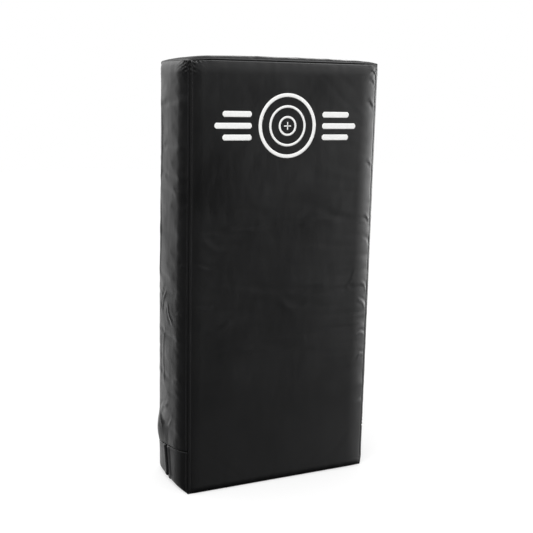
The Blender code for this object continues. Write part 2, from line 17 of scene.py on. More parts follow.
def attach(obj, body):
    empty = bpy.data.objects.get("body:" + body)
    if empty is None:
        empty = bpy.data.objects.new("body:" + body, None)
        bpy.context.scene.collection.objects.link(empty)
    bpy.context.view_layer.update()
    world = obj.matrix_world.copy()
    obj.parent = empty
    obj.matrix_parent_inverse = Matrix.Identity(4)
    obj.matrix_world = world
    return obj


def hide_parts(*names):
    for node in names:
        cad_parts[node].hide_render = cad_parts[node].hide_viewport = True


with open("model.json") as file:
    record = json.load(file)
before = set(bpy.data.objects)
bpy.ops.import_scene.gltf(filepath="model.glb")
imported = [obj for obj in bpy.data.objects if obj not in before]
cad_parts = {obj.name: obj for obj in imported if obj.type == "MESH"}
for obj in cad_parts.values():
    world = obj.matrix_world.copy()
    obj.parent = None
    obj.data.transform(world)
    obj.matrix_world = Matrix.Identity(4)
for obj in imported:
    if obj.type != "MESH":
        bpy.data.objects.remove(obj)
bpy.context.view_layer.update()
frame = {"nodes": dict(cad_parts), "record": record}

# Sizes that the frame's solids have, in metres
HALF_WIDTH, HALF_DEPTH, PAD_HEIGHT = 0.175, 0.067, 0.740
FRONT_ROLL, FRONT_DOME = 0.006, 0.003
BACK_ROLL, BACK_DOME = 0.006, 0.002
SIDE_DOME, TOP_DOME = 0.003, 0.0035
DOME_FLATNESS = 6
CORNER_EAR_REACH = 0.040
CROSS_SEAM_AT_FRONT, CROSS_SEAM_AT_BACK = 0.078, 0.056
SIDE_PANEL_START = 0.067
ZIP_Y, ZIP_TURN = 0.010, 0.010
VINYL = 0.0010
TAPE_INSET, TEETH_INSET = 0.0025, 0.0009
TEETH_TOP, TAPE_TOP = 0.0614, 0.0740
TAPE_WIDTH, TAPE_THICKNESS = 0.014, 0.0006
CHAIN_SPLIT = 0.0012
TEETH_WIDTH, TEETH_HEIGHT = 0.0018, 0.0015
HANDLE_SPREAD = 0.160
LOWER_HANDLES_UP, UPPER_HANDLE_UP = 0.360, 0.600
HINGE_ABOVE_BACK = 0.0075
GRIP_RADIUS, GRIP_STRAIGHT, GRIP_ABOVE_HINGE = 0.014, 0.070, 0.040
RISE_ANGLE = math.radians(55)
LOWER_BEND, UPPER_BEND = 0.012, 0.022
NECK_HALF_ACROSS, NECK_HALF_OUT, NECK_GAP = 0.0060, 0.0050, 0.0005
END_TAPER, END_LENGTH = 0.018, 0.032
END_HALF_ACROSS, END_HALF_THICKNESS = 0.021, 0.0020
PATCH_MARGIN, PATCH_THICKNESS = 0.005, 0.0010
SEAM_GAP = 0.0003

# Where the fabric is fuller or slacker than the plain solids
SOFT_EDGE, SOFT_EDGE_AT_FLOOR, TOP_SOFT_END = 0.022, 0.015, 0.045
EDGE_ROUNDNESS = 0.62
SIDE_ROLL, TOP_ROLL = 0.0057, 0.0055
LEFT_SIDE_SLACK, LEFT_SEAM_BOW = 0.0028, 0.0018
TOP_LIFT, TOP_LIFT_TO_RIGHT, LIFT_FLATNESS = 0.0026, 0.0018, 8
LEFT_FRONT_SOFT_EDGE = 0.034
RIGHT_FRONT_SOFT_EDGE, RIGHT_FRONT_ROLL = 0.036, 0.0012
LOW_PUFF, LOW_PUFF_PLACE, LOW_PUFF_REACH = 0.0045, (0.050, 0.085), (0.030, 0.022)
CORNER_EAR = 0.0011

# Sewing
TURN_RADIUS = 0.0013
TURNED_IN = (0.0006, 0.0020, 0.0040)
CROSS_SEAM_MEETS = 0.3
TOPSTITCH = 0.0040
STITCH_PITCH, STITCH_LENGTH, THREAD_RADIUS = 0.0045, 0.0034, 0.00032
PUCKER_PITCH, PUCKERED_LENGTH = 0.0070, 0.018
SEWN_THROUGH = 0.5
STRIP_LINES = (0.0, 0.0002, 0.0005, 0.0009, 0.0013, 0.0018, 0.0025, 0.0032, 0.0036, TOPSTITCH, 0.0044, 0.0050,
               0.0062, 0.0080, 0.0103, 0.0130, 0.0162)
EDGE_LINES = STRIP_LINES[:-4] + (0.0075, 0.0088, 0.0102, 0.0116, 0.0131, 0.0146, 0.0162, 0.0179, 0.0197,
                                 0.0217)


def smooth(share):
    """0 to 1 with a level start and end, for a number or an array."""
    share = np.clip(share, 0.0, 1.0)
    return share * share * (3 - 2 * share)


def hump(distance, width):
    """A bell of height 1 about distance 0."""
    return np.exp(-(distance / width) ** 2)


def blend(start, end, share):
    """The value this share of the way from the start to the end."""
    return start + (end - start) * share


def xyz(x, y, z):
    """Points from their coordinates, each an array or a number."""
    return np.stack(np.broadcast_arrays(x, y, z), -1).astype(float)


def unit(vectors):
    return vectors / np.maximum(np.linalg.norm(vectors, axis=-1, keepdims=True), 1e-12)


def quads(numbers):
    """The faces between the neighbours of a grid of point numbers, along its last two axes."""
    low, high = numbers[..., :-1, :], numbers[..., 1:, :]
    return np.stack([low[..., :-1], high[..., :-1], high[..., 1:], low[..., 1:]], -1).reshape(-1, 4)


def value_noise(points, seed):
    """Smooth noise from -1 to 1 at points whose coordinates count cells."""
    cell = np.floor(points).astype(np.int64)
    part = points - cell
    fade = part * part * (3 - 2 * part)
    total = np.zeros(points.shape[:-1])
    for corner in itertools.product((0, 1), repeat=3):
        mixed = ((cell + corner) * (374761393, 668265263, 1274126177)).sum(-1) + seed * 974634777
        mixed &= 0xFFFFFFFF
        mixed = ((mixed ^ (mixed >> 13)) * 1103515245) & 0xFFFFFFFF
        value = ((mixed ^ (mixed >> 16)) & 0xFFFF) / 32767.5 - 1
        total += value * np.where(corner, fade, 1 - fade).prod(-1)
    return total


def wave(along, seed):
    """Smooth noise along one line."""
    return value_noise(xyz(along, 0.37, 0.71), seed)


# The bulge, close to that of the frame's solids and a little rounder beside the seams

def rise(distance, reach, roundness=EDGE_ROUNDNESS):
    share = np.clip(distance / reach, 0.0, 1.0)
    return (1 - (1 - share) ** 2) ** roundness


def ear(distance):
    return np.clip(1 - distance / CORNER_EAR_REACH, 0.0, 1.0) ** 2


def swell(points):
    """Where points of the straight pad lie once the foam fills the cover."""
    x, y, z = points[..., 0], points[..., 1], points[..., 2]
    half_height = PAD_HEIGHT / 2
    across = np.clip(x / HALF_WIDTH, -1, 1)
    through = np.clip(y / HALF_DEPTH, -1, 1)
    up = np.clip((z - half_height) / half_height, -1, 1)
    in_x, in_y = HALF_WIDTH - abs(x), HALF_DEPTH - abs(y)
    left, right, front_half = x < 0, x > 0, y < 0
    rise_y = rise(in_y, SOFT_EDGE)
    rise_z = np.minimum(rise(z, SOFT_EDGE_AT_FLOOR), rise(PAD_HEIGHT - z, SOFT_EDGE))

    bow = LEFT_SEAM_BOW * (1 - up**2) * smooth((0.7 - up) / 0.9) * (0.7 + 0.3 * through)
    bow = bow + LOW_PUFF * np.exp(-((y - LOW_PUFF_PLACE[0]) / LOW_PUFF_REACH[0]) ** 2
                                  - ((z - LOW_PUFF_PLACE[1]) / LOW_PUFF_REACH[1]) ** 2)
    bow = np.where(left, bow, 0.0) * abs(across) ** 5
    roll = SIDE_ROLL + np.where(left, LEFT_SIDE_SLACK, 0.0) * ((1 - up) / 2) ** 1.5
    rise_side = np.where(left & front_half, rise(in_y, LEFT_FRONT_SOFT_EDGE, 1.0), rise_y)
    side = (roll * rise_side + SIDE_DOME * (1 - through**2)) * rise_z + bow + CORNER_EAR * ear(PAD_HEIGHT - z)

    roll = np.where(front_half, FRONT_ROLL + RIGHT_FRONT_ROLL * smooth((across + 0.2) / 0.8), BACK_ROLL)
    rise_face = np.where(right & front_half, rise(in_x, RIGHT_FRONT_SOFT_EDGE), rise(in_x, SOFT_EDGE))
    dome = np.where(front_half, FRONT_DOME, BACK_DOME)
    face = roll * rise_face * rise_z + dome * (1 - across**2) * (1 - up**DOME_FLATNESS)

    top = TOP_ROLL * rise(in_x, TOP_SOFT_END) * rise_y
    top = top + TOP_DOME * (1 - across**2) * (1 - through**2) + CORNER_EAR * ear(in_x)
    lift = TOP_LIFT * smooth((across + 1) / 0.25) + TOP_LIFT_TO_RIGHT * (across + 1) / 2
    above = np.maximum(up, 0.0)
    return xyz(x + across * side, y + through**3 * face, z + above * top + above**LIFT_FLATNESS * lift)


def cross_seam(y):
    share = (y + HALF_DEPTH) / (2 * HALF_DEPTH)
    return blend(CROSS_SEAM_AT_FRONT, CROSS_SEAM_AT_BACK, share)


# Materials

def connect(tree, socket, value):
    """Links an input to another node's output, or sets it to a plain value."""
    if isinstance(value, bpy.types.NodeSocket):
        tree.links.new(value, socket)
    else:
        socket.default_value = value


def add_node(tree, kind, **inputs):
    """A new node, with the inputs of these names set or linked."""
    node = tree.nodes.new(kind)
    for name, value in inputs.items():
        connect(tree, node.inputs[name.replace("_", " ")], value)
    return node


def combine(tree, operation, first, second=0.0):
    """A sum of a value and another value or a number."""
    node = add_node(tree, "ShaderNodeMath")
    node.operation = operation
    connect(tree, node.inputs[0], first)
    connect(tree, node.inputs[1], second)
    return node.outputs[0]


def node_material(name, base, roughness, metallic=0.0):
    """A material whose shader has these plain values. Returns it with its tree and shader."""
    made = bpy.data.materials.new(name)
    made.use_nodes = True
    shader = made.node_tree.nodes["Principled BSDF"]
    for key, value in (("Base Color", (*base, 1.0)), ("Roughness", roughness), ("Metallic", metallic)):
        shader.inputs[key].default_value = value
    return made, made.node_tree, shader


def object_point(tree, scale=(1.0, 1.0, 1.0)):
    """Object coordinates, stretched."""
    place = add_node(tree, "ShaderNodeTexCoord").outputs["Object"]
    return add_node(tree, "ShaderNodeMapping", Vector=place, Scale=scale).outputs["Vector"]


def texture(tree, kind, point, scale, **inputs):
    """The first output of a procedural texture at a scale in cells per metre."""
    return add_node(tree, kind, Vector=point, Scale=scale, **inputs).outputs[0]


def tinted(base, share):
    return tuple(channel * share for channel in base)


def ramp(tree, value, low, high, start, end):
    """Runs a value through a colour ramp between two colours."""
    node = add_node(tree, "ShaderNodeValToRGB", Fac=value)
    for element, place, colour in zip(node.color_ramp.elements, (start, end), (low, high)):
        element.position = place
        element.color = (*colour, 1.0)
    return node.outputs["Color"]


def spread(tree, value, low, high, start, end):
    """Maps a value from one range to another."""
    return add_node(tree, "ShaderNodeMapRange", Value=value, From_Min=start, From_Max=end, To_Min=low,
                    To_Max=high).outputs["Result"]


def add_bump(tree, shader, *heights):
    """Chains bumps onto a shader. Each is a value, a strength and a depth in metres."""
    normal = None
    for value, strength, depth in heights:
        bump = add_node(tree, "ShaderNodeBump", Height=value, Strength=strength, Distance=depth)
        if normal is not None:
            tree.links.new(normal, bump.inputs["Normal"])
        normal = bump.outputs["Normal"]
    tree.links.new(normal, shader.inputs["Normal"])


def vinyl_material(name, base, roughness, grain=760.0):
    """Coated fabric: small pebbled grain, finer pores, a slow drift of tone and gloss, faint scuffs."""
    made, tree, shader = node_material(name, base, roughness)
    point = object_point(tree)
    pebbles = texture(tree, "ShaderNodeTexVoronoi", point, grain, Randomness=0.9)
    pores = texture(tree, "ShaderNodeTexNoise", point, grain * 2.7, Detail=3.0, Roughness=0.6)
    drift = texture(tree, "ShaderNodeTexNoise", point, 9.0, Detail=4.0, Roughness=0.55)
    stretched = object_point(tree, (1.0, 1.0, 0.22))
    scuffs = texture(tree, "ShaderNodeTexNoise", stretched, 95.0, Detail=6.0, Roughness=0.7)
    tone = ramp(tree, drift, tinted(base, 0.82), tinted(base, 1.25), 0.3, 0.7)
    gloss = spread(tree, drift, roughness - 0.05, roughness + 0.04, 0.3, 0.7)
    worn = spread(tree, scuffs, -0.02, 0.10, 0.45, 0.8)
    tree.links.new(tone, shader.inputs["Base Color"])
    tree.links.new(combine(tree, "ADD", gloss, worn), shader.inputs["Roughness"])
    add_bump(tree, shader, (pebbles, 0.20, 0.00018), (pores, 0.12, 0.00008))
    return made


def foam_material(name, base, cells):
    """Cut foam: open or closed cells, with a slow drift of tone."""
    made, tree, shader = node_material(name, base, 0.92)
    point = object_point(tree)
    bubbles = texture(tree, "ShaderNodeTexVoronoi", point, cells)
    drift = texture(tree, "ShaderNodeTexNoise", point, 14.0, Detail=3.0)
    tree.links.new(ramp(tree, drift, tinted(base, 0.75), base, 0.35, 0.65), shader.inputs["Base Color"])
    add_bump(tree, shader, (bubbles, 0.5, 0.0005))
    return made


def woven_material(name, base, threads):
    """Woven tape: ribs across each direction, with a little fuzz."""
    made, tree, shader = node_material(name, base, 0.85)
    shader.inputs["Sheen Weight"].default_value = 0.15
    point = object_point(tree)
    heights = []
    for direction in ("X", "Y", "Z"):
        ribs = add_node(tree, "ShaderNodeTexWave", Vector=point, Scale=threads, Distortion=0.6, Detail=1.0)
        ribs.bands_direction = direction
        heights.append((ribs.outputs["Fac"], 0.35, 0.0002))
    fuzz = texture(tree, "ShaderNodeTexNoise", point, 2400.0, Detail=2.0)
    tree.links.new(ramp(tree, fuzz, base, tinted(base, 1.8), 0.35, 0.75), shader.inputs["Base Color"])
    add_bump(tree, shader, *heights)
    return made


def plain_material(name, base, roughness, metallic, specks, depth, shade=0.72):
    """Moulded plastic, plated metal, thread or ink: small specks in its colour, roughness and surface."""
    made, tree, shader = node_material(name, base, roughness, metallic)
    grains = texture(tree, "ShaderNodeTexNoise", object_point(tree), specks, Detail=4.0, Roughness=0.6)
    gloss = spread(tree, grains, roughness + 0.1, roughness - 0.05, 0.3, 0.7)
    tree.links.new(ramp(tree, grains, tinted(base, shade), base, 0.3, 0.6), shader.inputs["Base Color"])
    tree.links.new(gloss, shader.inputs["Roughness"])
    add_bump(tree, shader, (grains, 0.3, depth))
    return made


LOOKS = {
    "vinyl": vinyl_material("cover_vinyl", (0.0046, 0.0047, 0.0050), 0.36),
    "vinyl_trim": vinyl_material("handle_vinyl", (0.0120, 0.0120, 0.0128), 0.42, 900.0),
    "dense_foam": foam_material("closed_cell_foam", (0.055, 0.058, 0.065), 900.0),
    "soft_foam": foam_material("open_cell_foam", (0.72, 0.66, 0.42), 600.0),
    "webbing": woven_material("woven_tape", (0.016, 0.016, 0.017), 420.0),
    "zip_plastic": plain_material("coiled_nylon", (0.020, 0.020, 0.022), 0.38, 0.0, 900.0, 0.00005),
    "zip_metal": plain_material("dark_plated_metal", (0.10, 0.10, 0.105), 0.33, 1.0, 700.0, 0.00003),
    "thread": plain_material("bonded_thread", (0.022, 0.022, 0.024), 0.62, 0.0, 2600.0, 0.00006),
}
INK = plain_material("white_ink", (0.93, 0.93, 0.92), 0.50, 0.0, 240.0, 0.00003, 0.94)


# Meshes

class Build:
    """Collects points and faces for one object."""

    def __init__(self):
        self.points, self.faces, self.count = [], [], 0

    def add(self, points):
        """Adds an array of points and returns the array of their numbers."""
        points = np.asarray(points, dtype=float)
        self.points.append(points.reshape(-1, 3))
        self.count += len(self.points[-1])
        return np.arange(self.count - len(self.points[-1]), self.count).reshape(points.shape[:-1])

    def join(self, numbers, closed=False, capped=False):
        """Faces over a grid of point numbers. A closed one wraps round its second axis and can be capped."""
        self.faces.append(quads(np.concatenate([numbers, numbers[:, :1]], 1) if closed else numbers))
        if capped:
            self.faces += [numbers[:1], numbers[-1:]]

    def finish(self, name, body, slot, outward=None, thickness=0.0, look=None):
        """Makes the object, turns its faces outwards, gives it its slot's look, and hangs it on its body."""
        data = bpy.data.meshes.new(name)
        faces = [list(map(int, face)) for block in self.faces for face in block]
        data.from_pydata(np.concatenate(self.points).tolist(), [], faces)
        mesh = bmesh.new()
        mesh.from_mesh(data)
        bmesh.ops.recalc_face_normals(mesh, faces=mesh.faces)
        if outward is not None:
            mesh.faces.ensure_lookup_table()
            if mesh.faces[outward[0]].normal.dot(Vector(outward[1])) < 0:
                bmesh.ops.reverse_faces(mesh, faces=mesh.faces)
        mesh.to_mesh(data)
        mesh.free()
        data.shade_smooth()
        data.materials.append(look or LOOKS[slot])
        made = add_object(name, data)
        if thickness:
            shell = made.modifiers.new("thickness", "SOLIDIFY")
            shell.thickness, shell.offset = thickness, -1.0
        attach(made, body)
        return made


def add_object(name, data):
    made = bpy.data.objects.new(name, data)
    bpy.context.scene.collection.objects.link(made)
    return made


def sheet(name, body, slot, points, outward=None, thickness=0.0, closed=False, capped=False):
    """A piece with one grid of points."""
    build = Build()
    build.join(build.add(points), closed, capped)
    return build.finish(name, body, slot, outward, thickness)


def grid_normals(points):
    """Unit normals of a grid of points, from its neighbours."""
    return unit(np.cross(np.gradient(points, axis=0), np.gradient(points, axis=1)))


# A stitch's or coil turn's rings: share of its length, share of its width
CAPSULE = ((-0.5, 0.45), (-0.38, 0.9), (0.0, 1.0), (0.38, 0.9), (0.5, 0.45))
CAPSULE_SIDES = 6


def capsules(build, centres, along, outward, length, half_width, half_height):
    """Many short rounded rods at once: stitches, or turns of a coil."""
    along = unit(along)
    across = unit(np.cross(outward, along))
    up = np.cross(along, across)
    turns = 2 * math.pi * np.arange(CAPSULE_SIDES) / CAPSULE_SIDES
    rings = [centres[:, None] + along[:, None] * length * share
             + across[:, None] * (half_width * width * np.cos(turns))[None, :, None]
             + up[:, None] * (half_height * width * np.sin(turns))[None, :, None] for share, width in CAPSULE]
    numbers = build.add(np.stack(rings, 1))
    build.faces.append(quads(np.concatenate([numbers, numbers[:, :, :1]], 2)))
    build.faces += [numbers[:, 0], numbers[:, -1]]


def along_line(points, pitch, margin):
    """Evenly spaced places along a polyline: their positions, directions and shares of the point list."""
    run = np.concatenate([[0.0], np.cumsum(np.linalg.norm(np.diff(points, axis=0), axis=1))])
    count = max(int((run[-1] - 2 * margin) / pitch), 1)
    places = margin + pitch / 2 + pitch * np.arange(count)
    places = places + (run[-1] - 2 * margin - count * pitch) / 2
    at, ahead = (np.stack([np.interp(places + step, run, points[:, i]) for i in range(3)], -1)
                 for step in (0, pitch / 4))
    return at, ahead - at, np.interp(places, run, np.arange(len(points)))


def sew(build, points, normals, pitch=STITCH_PITCH, length=STITCH_LENGTH, margin=0.0):
    """A row of stitches along a line on a surface."""
    at, along, shares = along_line(points, pitch, margin)
    up = normals[np.floor(shares).astype(int)]
    at = at + up * THREAD_RADIUS * 0.35
    capsules(build, at, along, up, length, THREAD_RADIUS * 1.1, THREAD_RADIUS * 0.8)

# The cover: a short cloth simulation of all its panels as one closed skin

SIM_CELL, SIM_FRAMES = 0.006, 20
# How far the cloth is bulged at the start and how much that varies, over cells of so many to a metre
START_BULGE, SLACK, SLACK_CELLS_IN_FACE, SLACK_SEED = 0.75, 0.06, (24.0, 24.0, 40.0), 5
GATHERED_REACH = 0.02
ON_SEAM = 1e-6
BROADEST_FOLD = 3.0
FOLD_SHARE, FOLD_LIMIT = 0.40, 0.0009


def even_lines(low, high, cell):
    return np.linspace(low, high, int(round((high - low) / cell)) + 1)


def blurred(grid, cells):
    """A grid smoothed over this many cells, as if it went on past its edges."""
    reach = int(3 * cells)
    weights = np.exp(-0.5 * (np.arange(-reach, reach + 1) / cells) ** 2)
    weights /= weights.sum()
    for axis in (0, 1):
        margin = [(0, 0), (0, 0)]
        margin[axis] = (reach, reach)
        longer = np.pad(grid, margin, mode="reflect", reflect_type="odd")
        grid = np.apply_along_axis(np.convolve, axis, longer, weights, mode="valid")
    return grid


def folds_alone(moved):
    """The folds of one face without its overall swelling, which the foam block prevents."""
    folds = moved - moved.mean(axis=1, keepdims=True)
    folds = folds - folds.mean(axis=0, keepdims=True)
    folds = folds - blurred(folds, BROADEST_FOLD)
    return FOLD_LIMIT * np.tanh(FOLD_SHARE * folds / FOLD_LIMIT)


def box_grids(lines):
    """The closed skin of the straight pad: its points, its faces, and each side's grid of point numbers."""
    number, straight, faces, grids = {}, [], [], {}
    for fixed in range(3):
        first, second = [axis for axis in range(3) if axis != fixed]
        for end in (0, 1):
            grid = np.empty((len(lines[first]), len(lines[second])), dtype=int)
            for i, j in np.ndindex(grid.shape):
                key = [0, 0, 0]
                key[fixed], key[first], key[second] = end * (len(lines[fixed]) - 1), i, j
                grid[i, j] = number.setdefault(tuple(key), len(straight))
                if grid[i, j] == len(straight):
                    straight.append([lines[axis][key[axis]] for axis in range(3)])
            grids[fixed, end] = grid
            sides = quads(grid)
            faces += (sides[:, ::-1] if (fixed != 1) == (end == 0) else sides).tolist()
    return np.array(straight), faces, grids


def simulate_cover():
    """How far the folds of the fabric stand off the bulged shape, as grids by face. The seams hold still."""
    lines = (even_lines(-HALF_WIDTH, HALF_WIDTH, SIM_CELL), even_lines(-HALF_DEPTH, HALF_DEPTH, SIM_CELL),
             even_lines(0.0, PAD_HEIGHT, SIM_CELL))
    straight, faces, grids = box_grids(lines)
    x, y, z = straight.T
    bulged = swell(straight)
    loose = SLACK * value_noise(straight * SLACK_CELLS_IN_FACE, SLACK_SEED)
    start = straight + (bulged - straight) * (START_BULGE + loose[:, None])
    from_faces = xyz(HALF_WIDTH - abs(x), HALF_DEPTH - abs(y), np.minimum(z, PAD_HEIGHT - z))
    from_seam = np.sort(from_faces, -1)[:, 1]

    data = bpy.data.meshes.new("cover_cloth")
    data.from_pydata(start.tolist(), [], faces)
    cover = add_object("cover_cloth", data)
    held = cover.vertex_groups.new(name="held")
    gathered = cover.vertex_groups.new(name="gathered")
    held.add(np.flatnonzero((from_seam < ON_SEAM) | (z < ON_SEAM)).tolist(), 1.0, "REPLACE")
    for i, distance in enumerate(from_seam):
        gathered.add([i], float(np.exp(-distance / GATHERED_REACH)), "REPLACE")
    cloth = cover.modifiers.new("cloth", "CLOTH")
    settings = cloth.settings
    settings.quality = 5
    settings.mass = 0.25
    settings.tension_stiffness = settings.compression_stiffness = 20
    settings.shear_stiffness = 8
    settings.bending_stiffness = 0.4
    settings.air_damping = 3
    settings.use_pressure = True
    settings.uniform_pressure_force = 4
    settings.vertex_group_mass = "held"
    settings.vertex_group_shrink = "gathered"
    settings.shrink_min, settings.shrink_max = -0.012, 0.01
    settings.effector_weights.gravity = 0
    cloth.point_cache.frame_start, cloth.point_cache.frame_end = 1, SIM_FRAMES
    scene = bpy.context.scene
    for step in range(1, SIM_FRAMES + 1):
        scene.frame_set(step)
    settled = cover.evaluated_get(bpy.context.evaluated_depsgraph_get())
    points = np.empty(straight.size)
    settled.to_mesh().vertices.foreach_get("co", points)
    settled.to_mesh_clear()
    scene.frame_set(1)
    bpy.data.objects.remove(cover)
    bpy.data.meshes.remove(data)
    moved = points.reshape(-1, 3) - bulged
    return {(fixed, end): folds_alone(moved[grid][..., fixed] * (1 if end else -1))
            for (fixed, end), grid in grids.items()}, lines


FOLDS, FOLD_LINES = simulate_cover()


def cubic_weights(values, lines):
    """For values on a line of even steps: the four nearest line numbers and their smooth weights."""
    at = np.clip((values - lines[0]) / (lines[1] - lines[0]), 0, len(lines) - 1)
    low = np.minimum(np.floor(at).astype(int), len(lines) - 2)
    t = at - low
    numbers = np.clip(np.stack([low - 1, low, low + 1, low + 2], -1), 0, len(lines) - 1)
    weights = (-t + 2 * t**2 - t**3, 2 - 5 * t**2 + 3 * t**3, t + 4 * t**2 - 3 * t**3, -t**2 + t**3)
    return numbers, np.stack(weights, -1) / 2


def fold_height(face, first, second):
    """How far the simulated fabric stands off the bulged shape at places on one face of the pad."""
    height = np.zeros(np.shape(first))
    if FOLDS is None:
        return height
    free = [axis for axis in range(3) if axis != face[0]]
    rows, row_weights = cubic_weights(first, FOLD_LINES[free[0]])
    columns, column_weights = cubic_weights(second, FOLD_LINES[free[1]])
    for i, j in itertools.product(range(4), repeat=2):
        height += FOLDS[face][rows[..., i], columns[..., j]] * row_weights[..., i] * column_weights[..., j]
    return height


# Seams, gathers and creases, as heights over the bulged surface

ALLOWANCE_RIDGE, ALLOWANCE_MIDDLE, ALLOWANCE_REACH = 0.00035, 0.0024, 0.0011
PRESSED_DEPTH, PRESSED_REACH = 0.00050, 0.0008
GATHER_HEIGHT, GATHER_REACH = 0.0006, 0.006
CREASE_VALLEY, VALLEY_BESIDE, VALLEY_WIDTH = 0.7, 1.9, 1.1


def turned_edge(distance, radius):
    """How far the fabric drops away where it turns into a seam."""
    return radius * (1 - np.sqrt(1 - np.clip(1 - distance / radius, 0, 1) ** 2))


def stitched_line(distance):
    """The low ridge over a seam's allowance, and the line that its topstitching presses."""
    ridge = ALLOWANCE_RIDGE * hump(distance - ALLOWANCE_MIDDLE, ALLOWANCE_REACH)
    return ridge - PRESSED_DEPTH * hump(distance - TOPSTITCH, PRESSED_REACH)


def gather_height(distance, along, seed):
    """Small uneven folds where the sewing gathers the fabric, dying away from the seam."""
    folds = wave(along * 118, seed) + 0.7 * wave(along * 67, seed + 3)
    strength = 0.15 + 0.85 * smooth(0.5 + 1.2 * wave(along * 17, seed + 1))
    reach = distance / (GATHER_REACH * (1 + 0.8 * wave(along * 45, seed + 2)))
    return GATHER_HEIGHT * strength * folds * reach * np.exp(1 - reach)


def pucker_height(across, along, strength, reach, seed):
    """Tight slanting folds side by side along a seam, beside a corner where its gathers meet."""
    phase = 2 * math.pi * (along - 0.45 * across) / PUCKER_PITCH + 1.8 * wave(along * 160, seed)
    near = np.exp(-along / PUCKERED_LENGTH) * smooth(along / 0.002)
    near = near * (0.5 + 0.6 * np.sin(across / 0.0011 + 2.5 * wave(along * 90, seed + 7)))
    return strength * near * np.sin(phase) * (across / reach) * np.exp(1 - across / reach)


def crease_height(u, v, crease):
    """One fold: a ridge with a valley beside it, from a start to an end, dying away at both."""
    (u0, v0), (u1, v1), width, height = crease
    length = math.hypot(u1 - u0, v1 - v0)
    du, dv = (u1 - u0) / length, (v1 - v0) / length
    share = ((u - u0) * du + (v - v0) * dv) / length
    off = (u - u0) * -dv + (v - v0) * du + width * 0.8 * np.sin(share * 7 + u0 * 90)
    beyond = np.maximum(np.maximum(-share, share - 1), 0) * length
    ridge = hump(off, width) - CREASE_VALLEY * hump(off - VALLEY_BESIDE * width, VALLEY_WIDTH * width)
    return height * smooth(share / 0.3) * smooth((1 - share) / 0.3) * ridge * hump(beyond, width)


def graded_lines(low, high, cell):
    """Lines close together beside both seams, and evenly spaced between."""
    near, far = [low + step for step in EDGE_LINES], [high - step for step in EDGE_LINES]
    count = int(round((far[-1] - near[-1]) / cell))
    return np.array(near + list(np.linspace(near[-1], far[-1], count + 1)[1:-1]) + far[::-1])


X, Y, Z = np.eye(3)
THREADS = Build()
GAP = SEAM_GAP / 2
PANEL_CELL = 0.0029
PANEL_STITCH_MARGIN, STRIP_STITCH_MARGIN = 0.010, 0.003
# How far from the seams the folds, the uneven filling, the gathers and the creases have their full height
FOLDS_FROM_SEAM, FILLING_FROM_SEAM, GATHERS_FROM_SEAM, CREASES_FROM_SEAM = 0.012, 0.020, 0.003, 0.006
UNEVEN_FILLING, FILLING_CELLS = 0.00035, 14


def turn_in(build, numbers, points, inward, outward, along, low_room, high_room):
    """The seam allowance: rows that turn from a panel's edge into the pad, narrower towards its ends."""
    rows = [numbers]
    for depth in TURNED_IN:
        shift = np.maximum(depth - low_room, 0) - np.maximum(depth - high_room, 0)
        rows.append(build.add(points + (inward - outward) * depth + along * shift[:, None]))
    build.join(np.stack(rows))


def edge_line(edge, inside=0):
    """The index of the grid line along a panel's edge, this many lines inside it."""
    row = -1 - inside if edge % 2 else inside
    return (row, slice(None)) if edge < 2 else (slice(None), row)


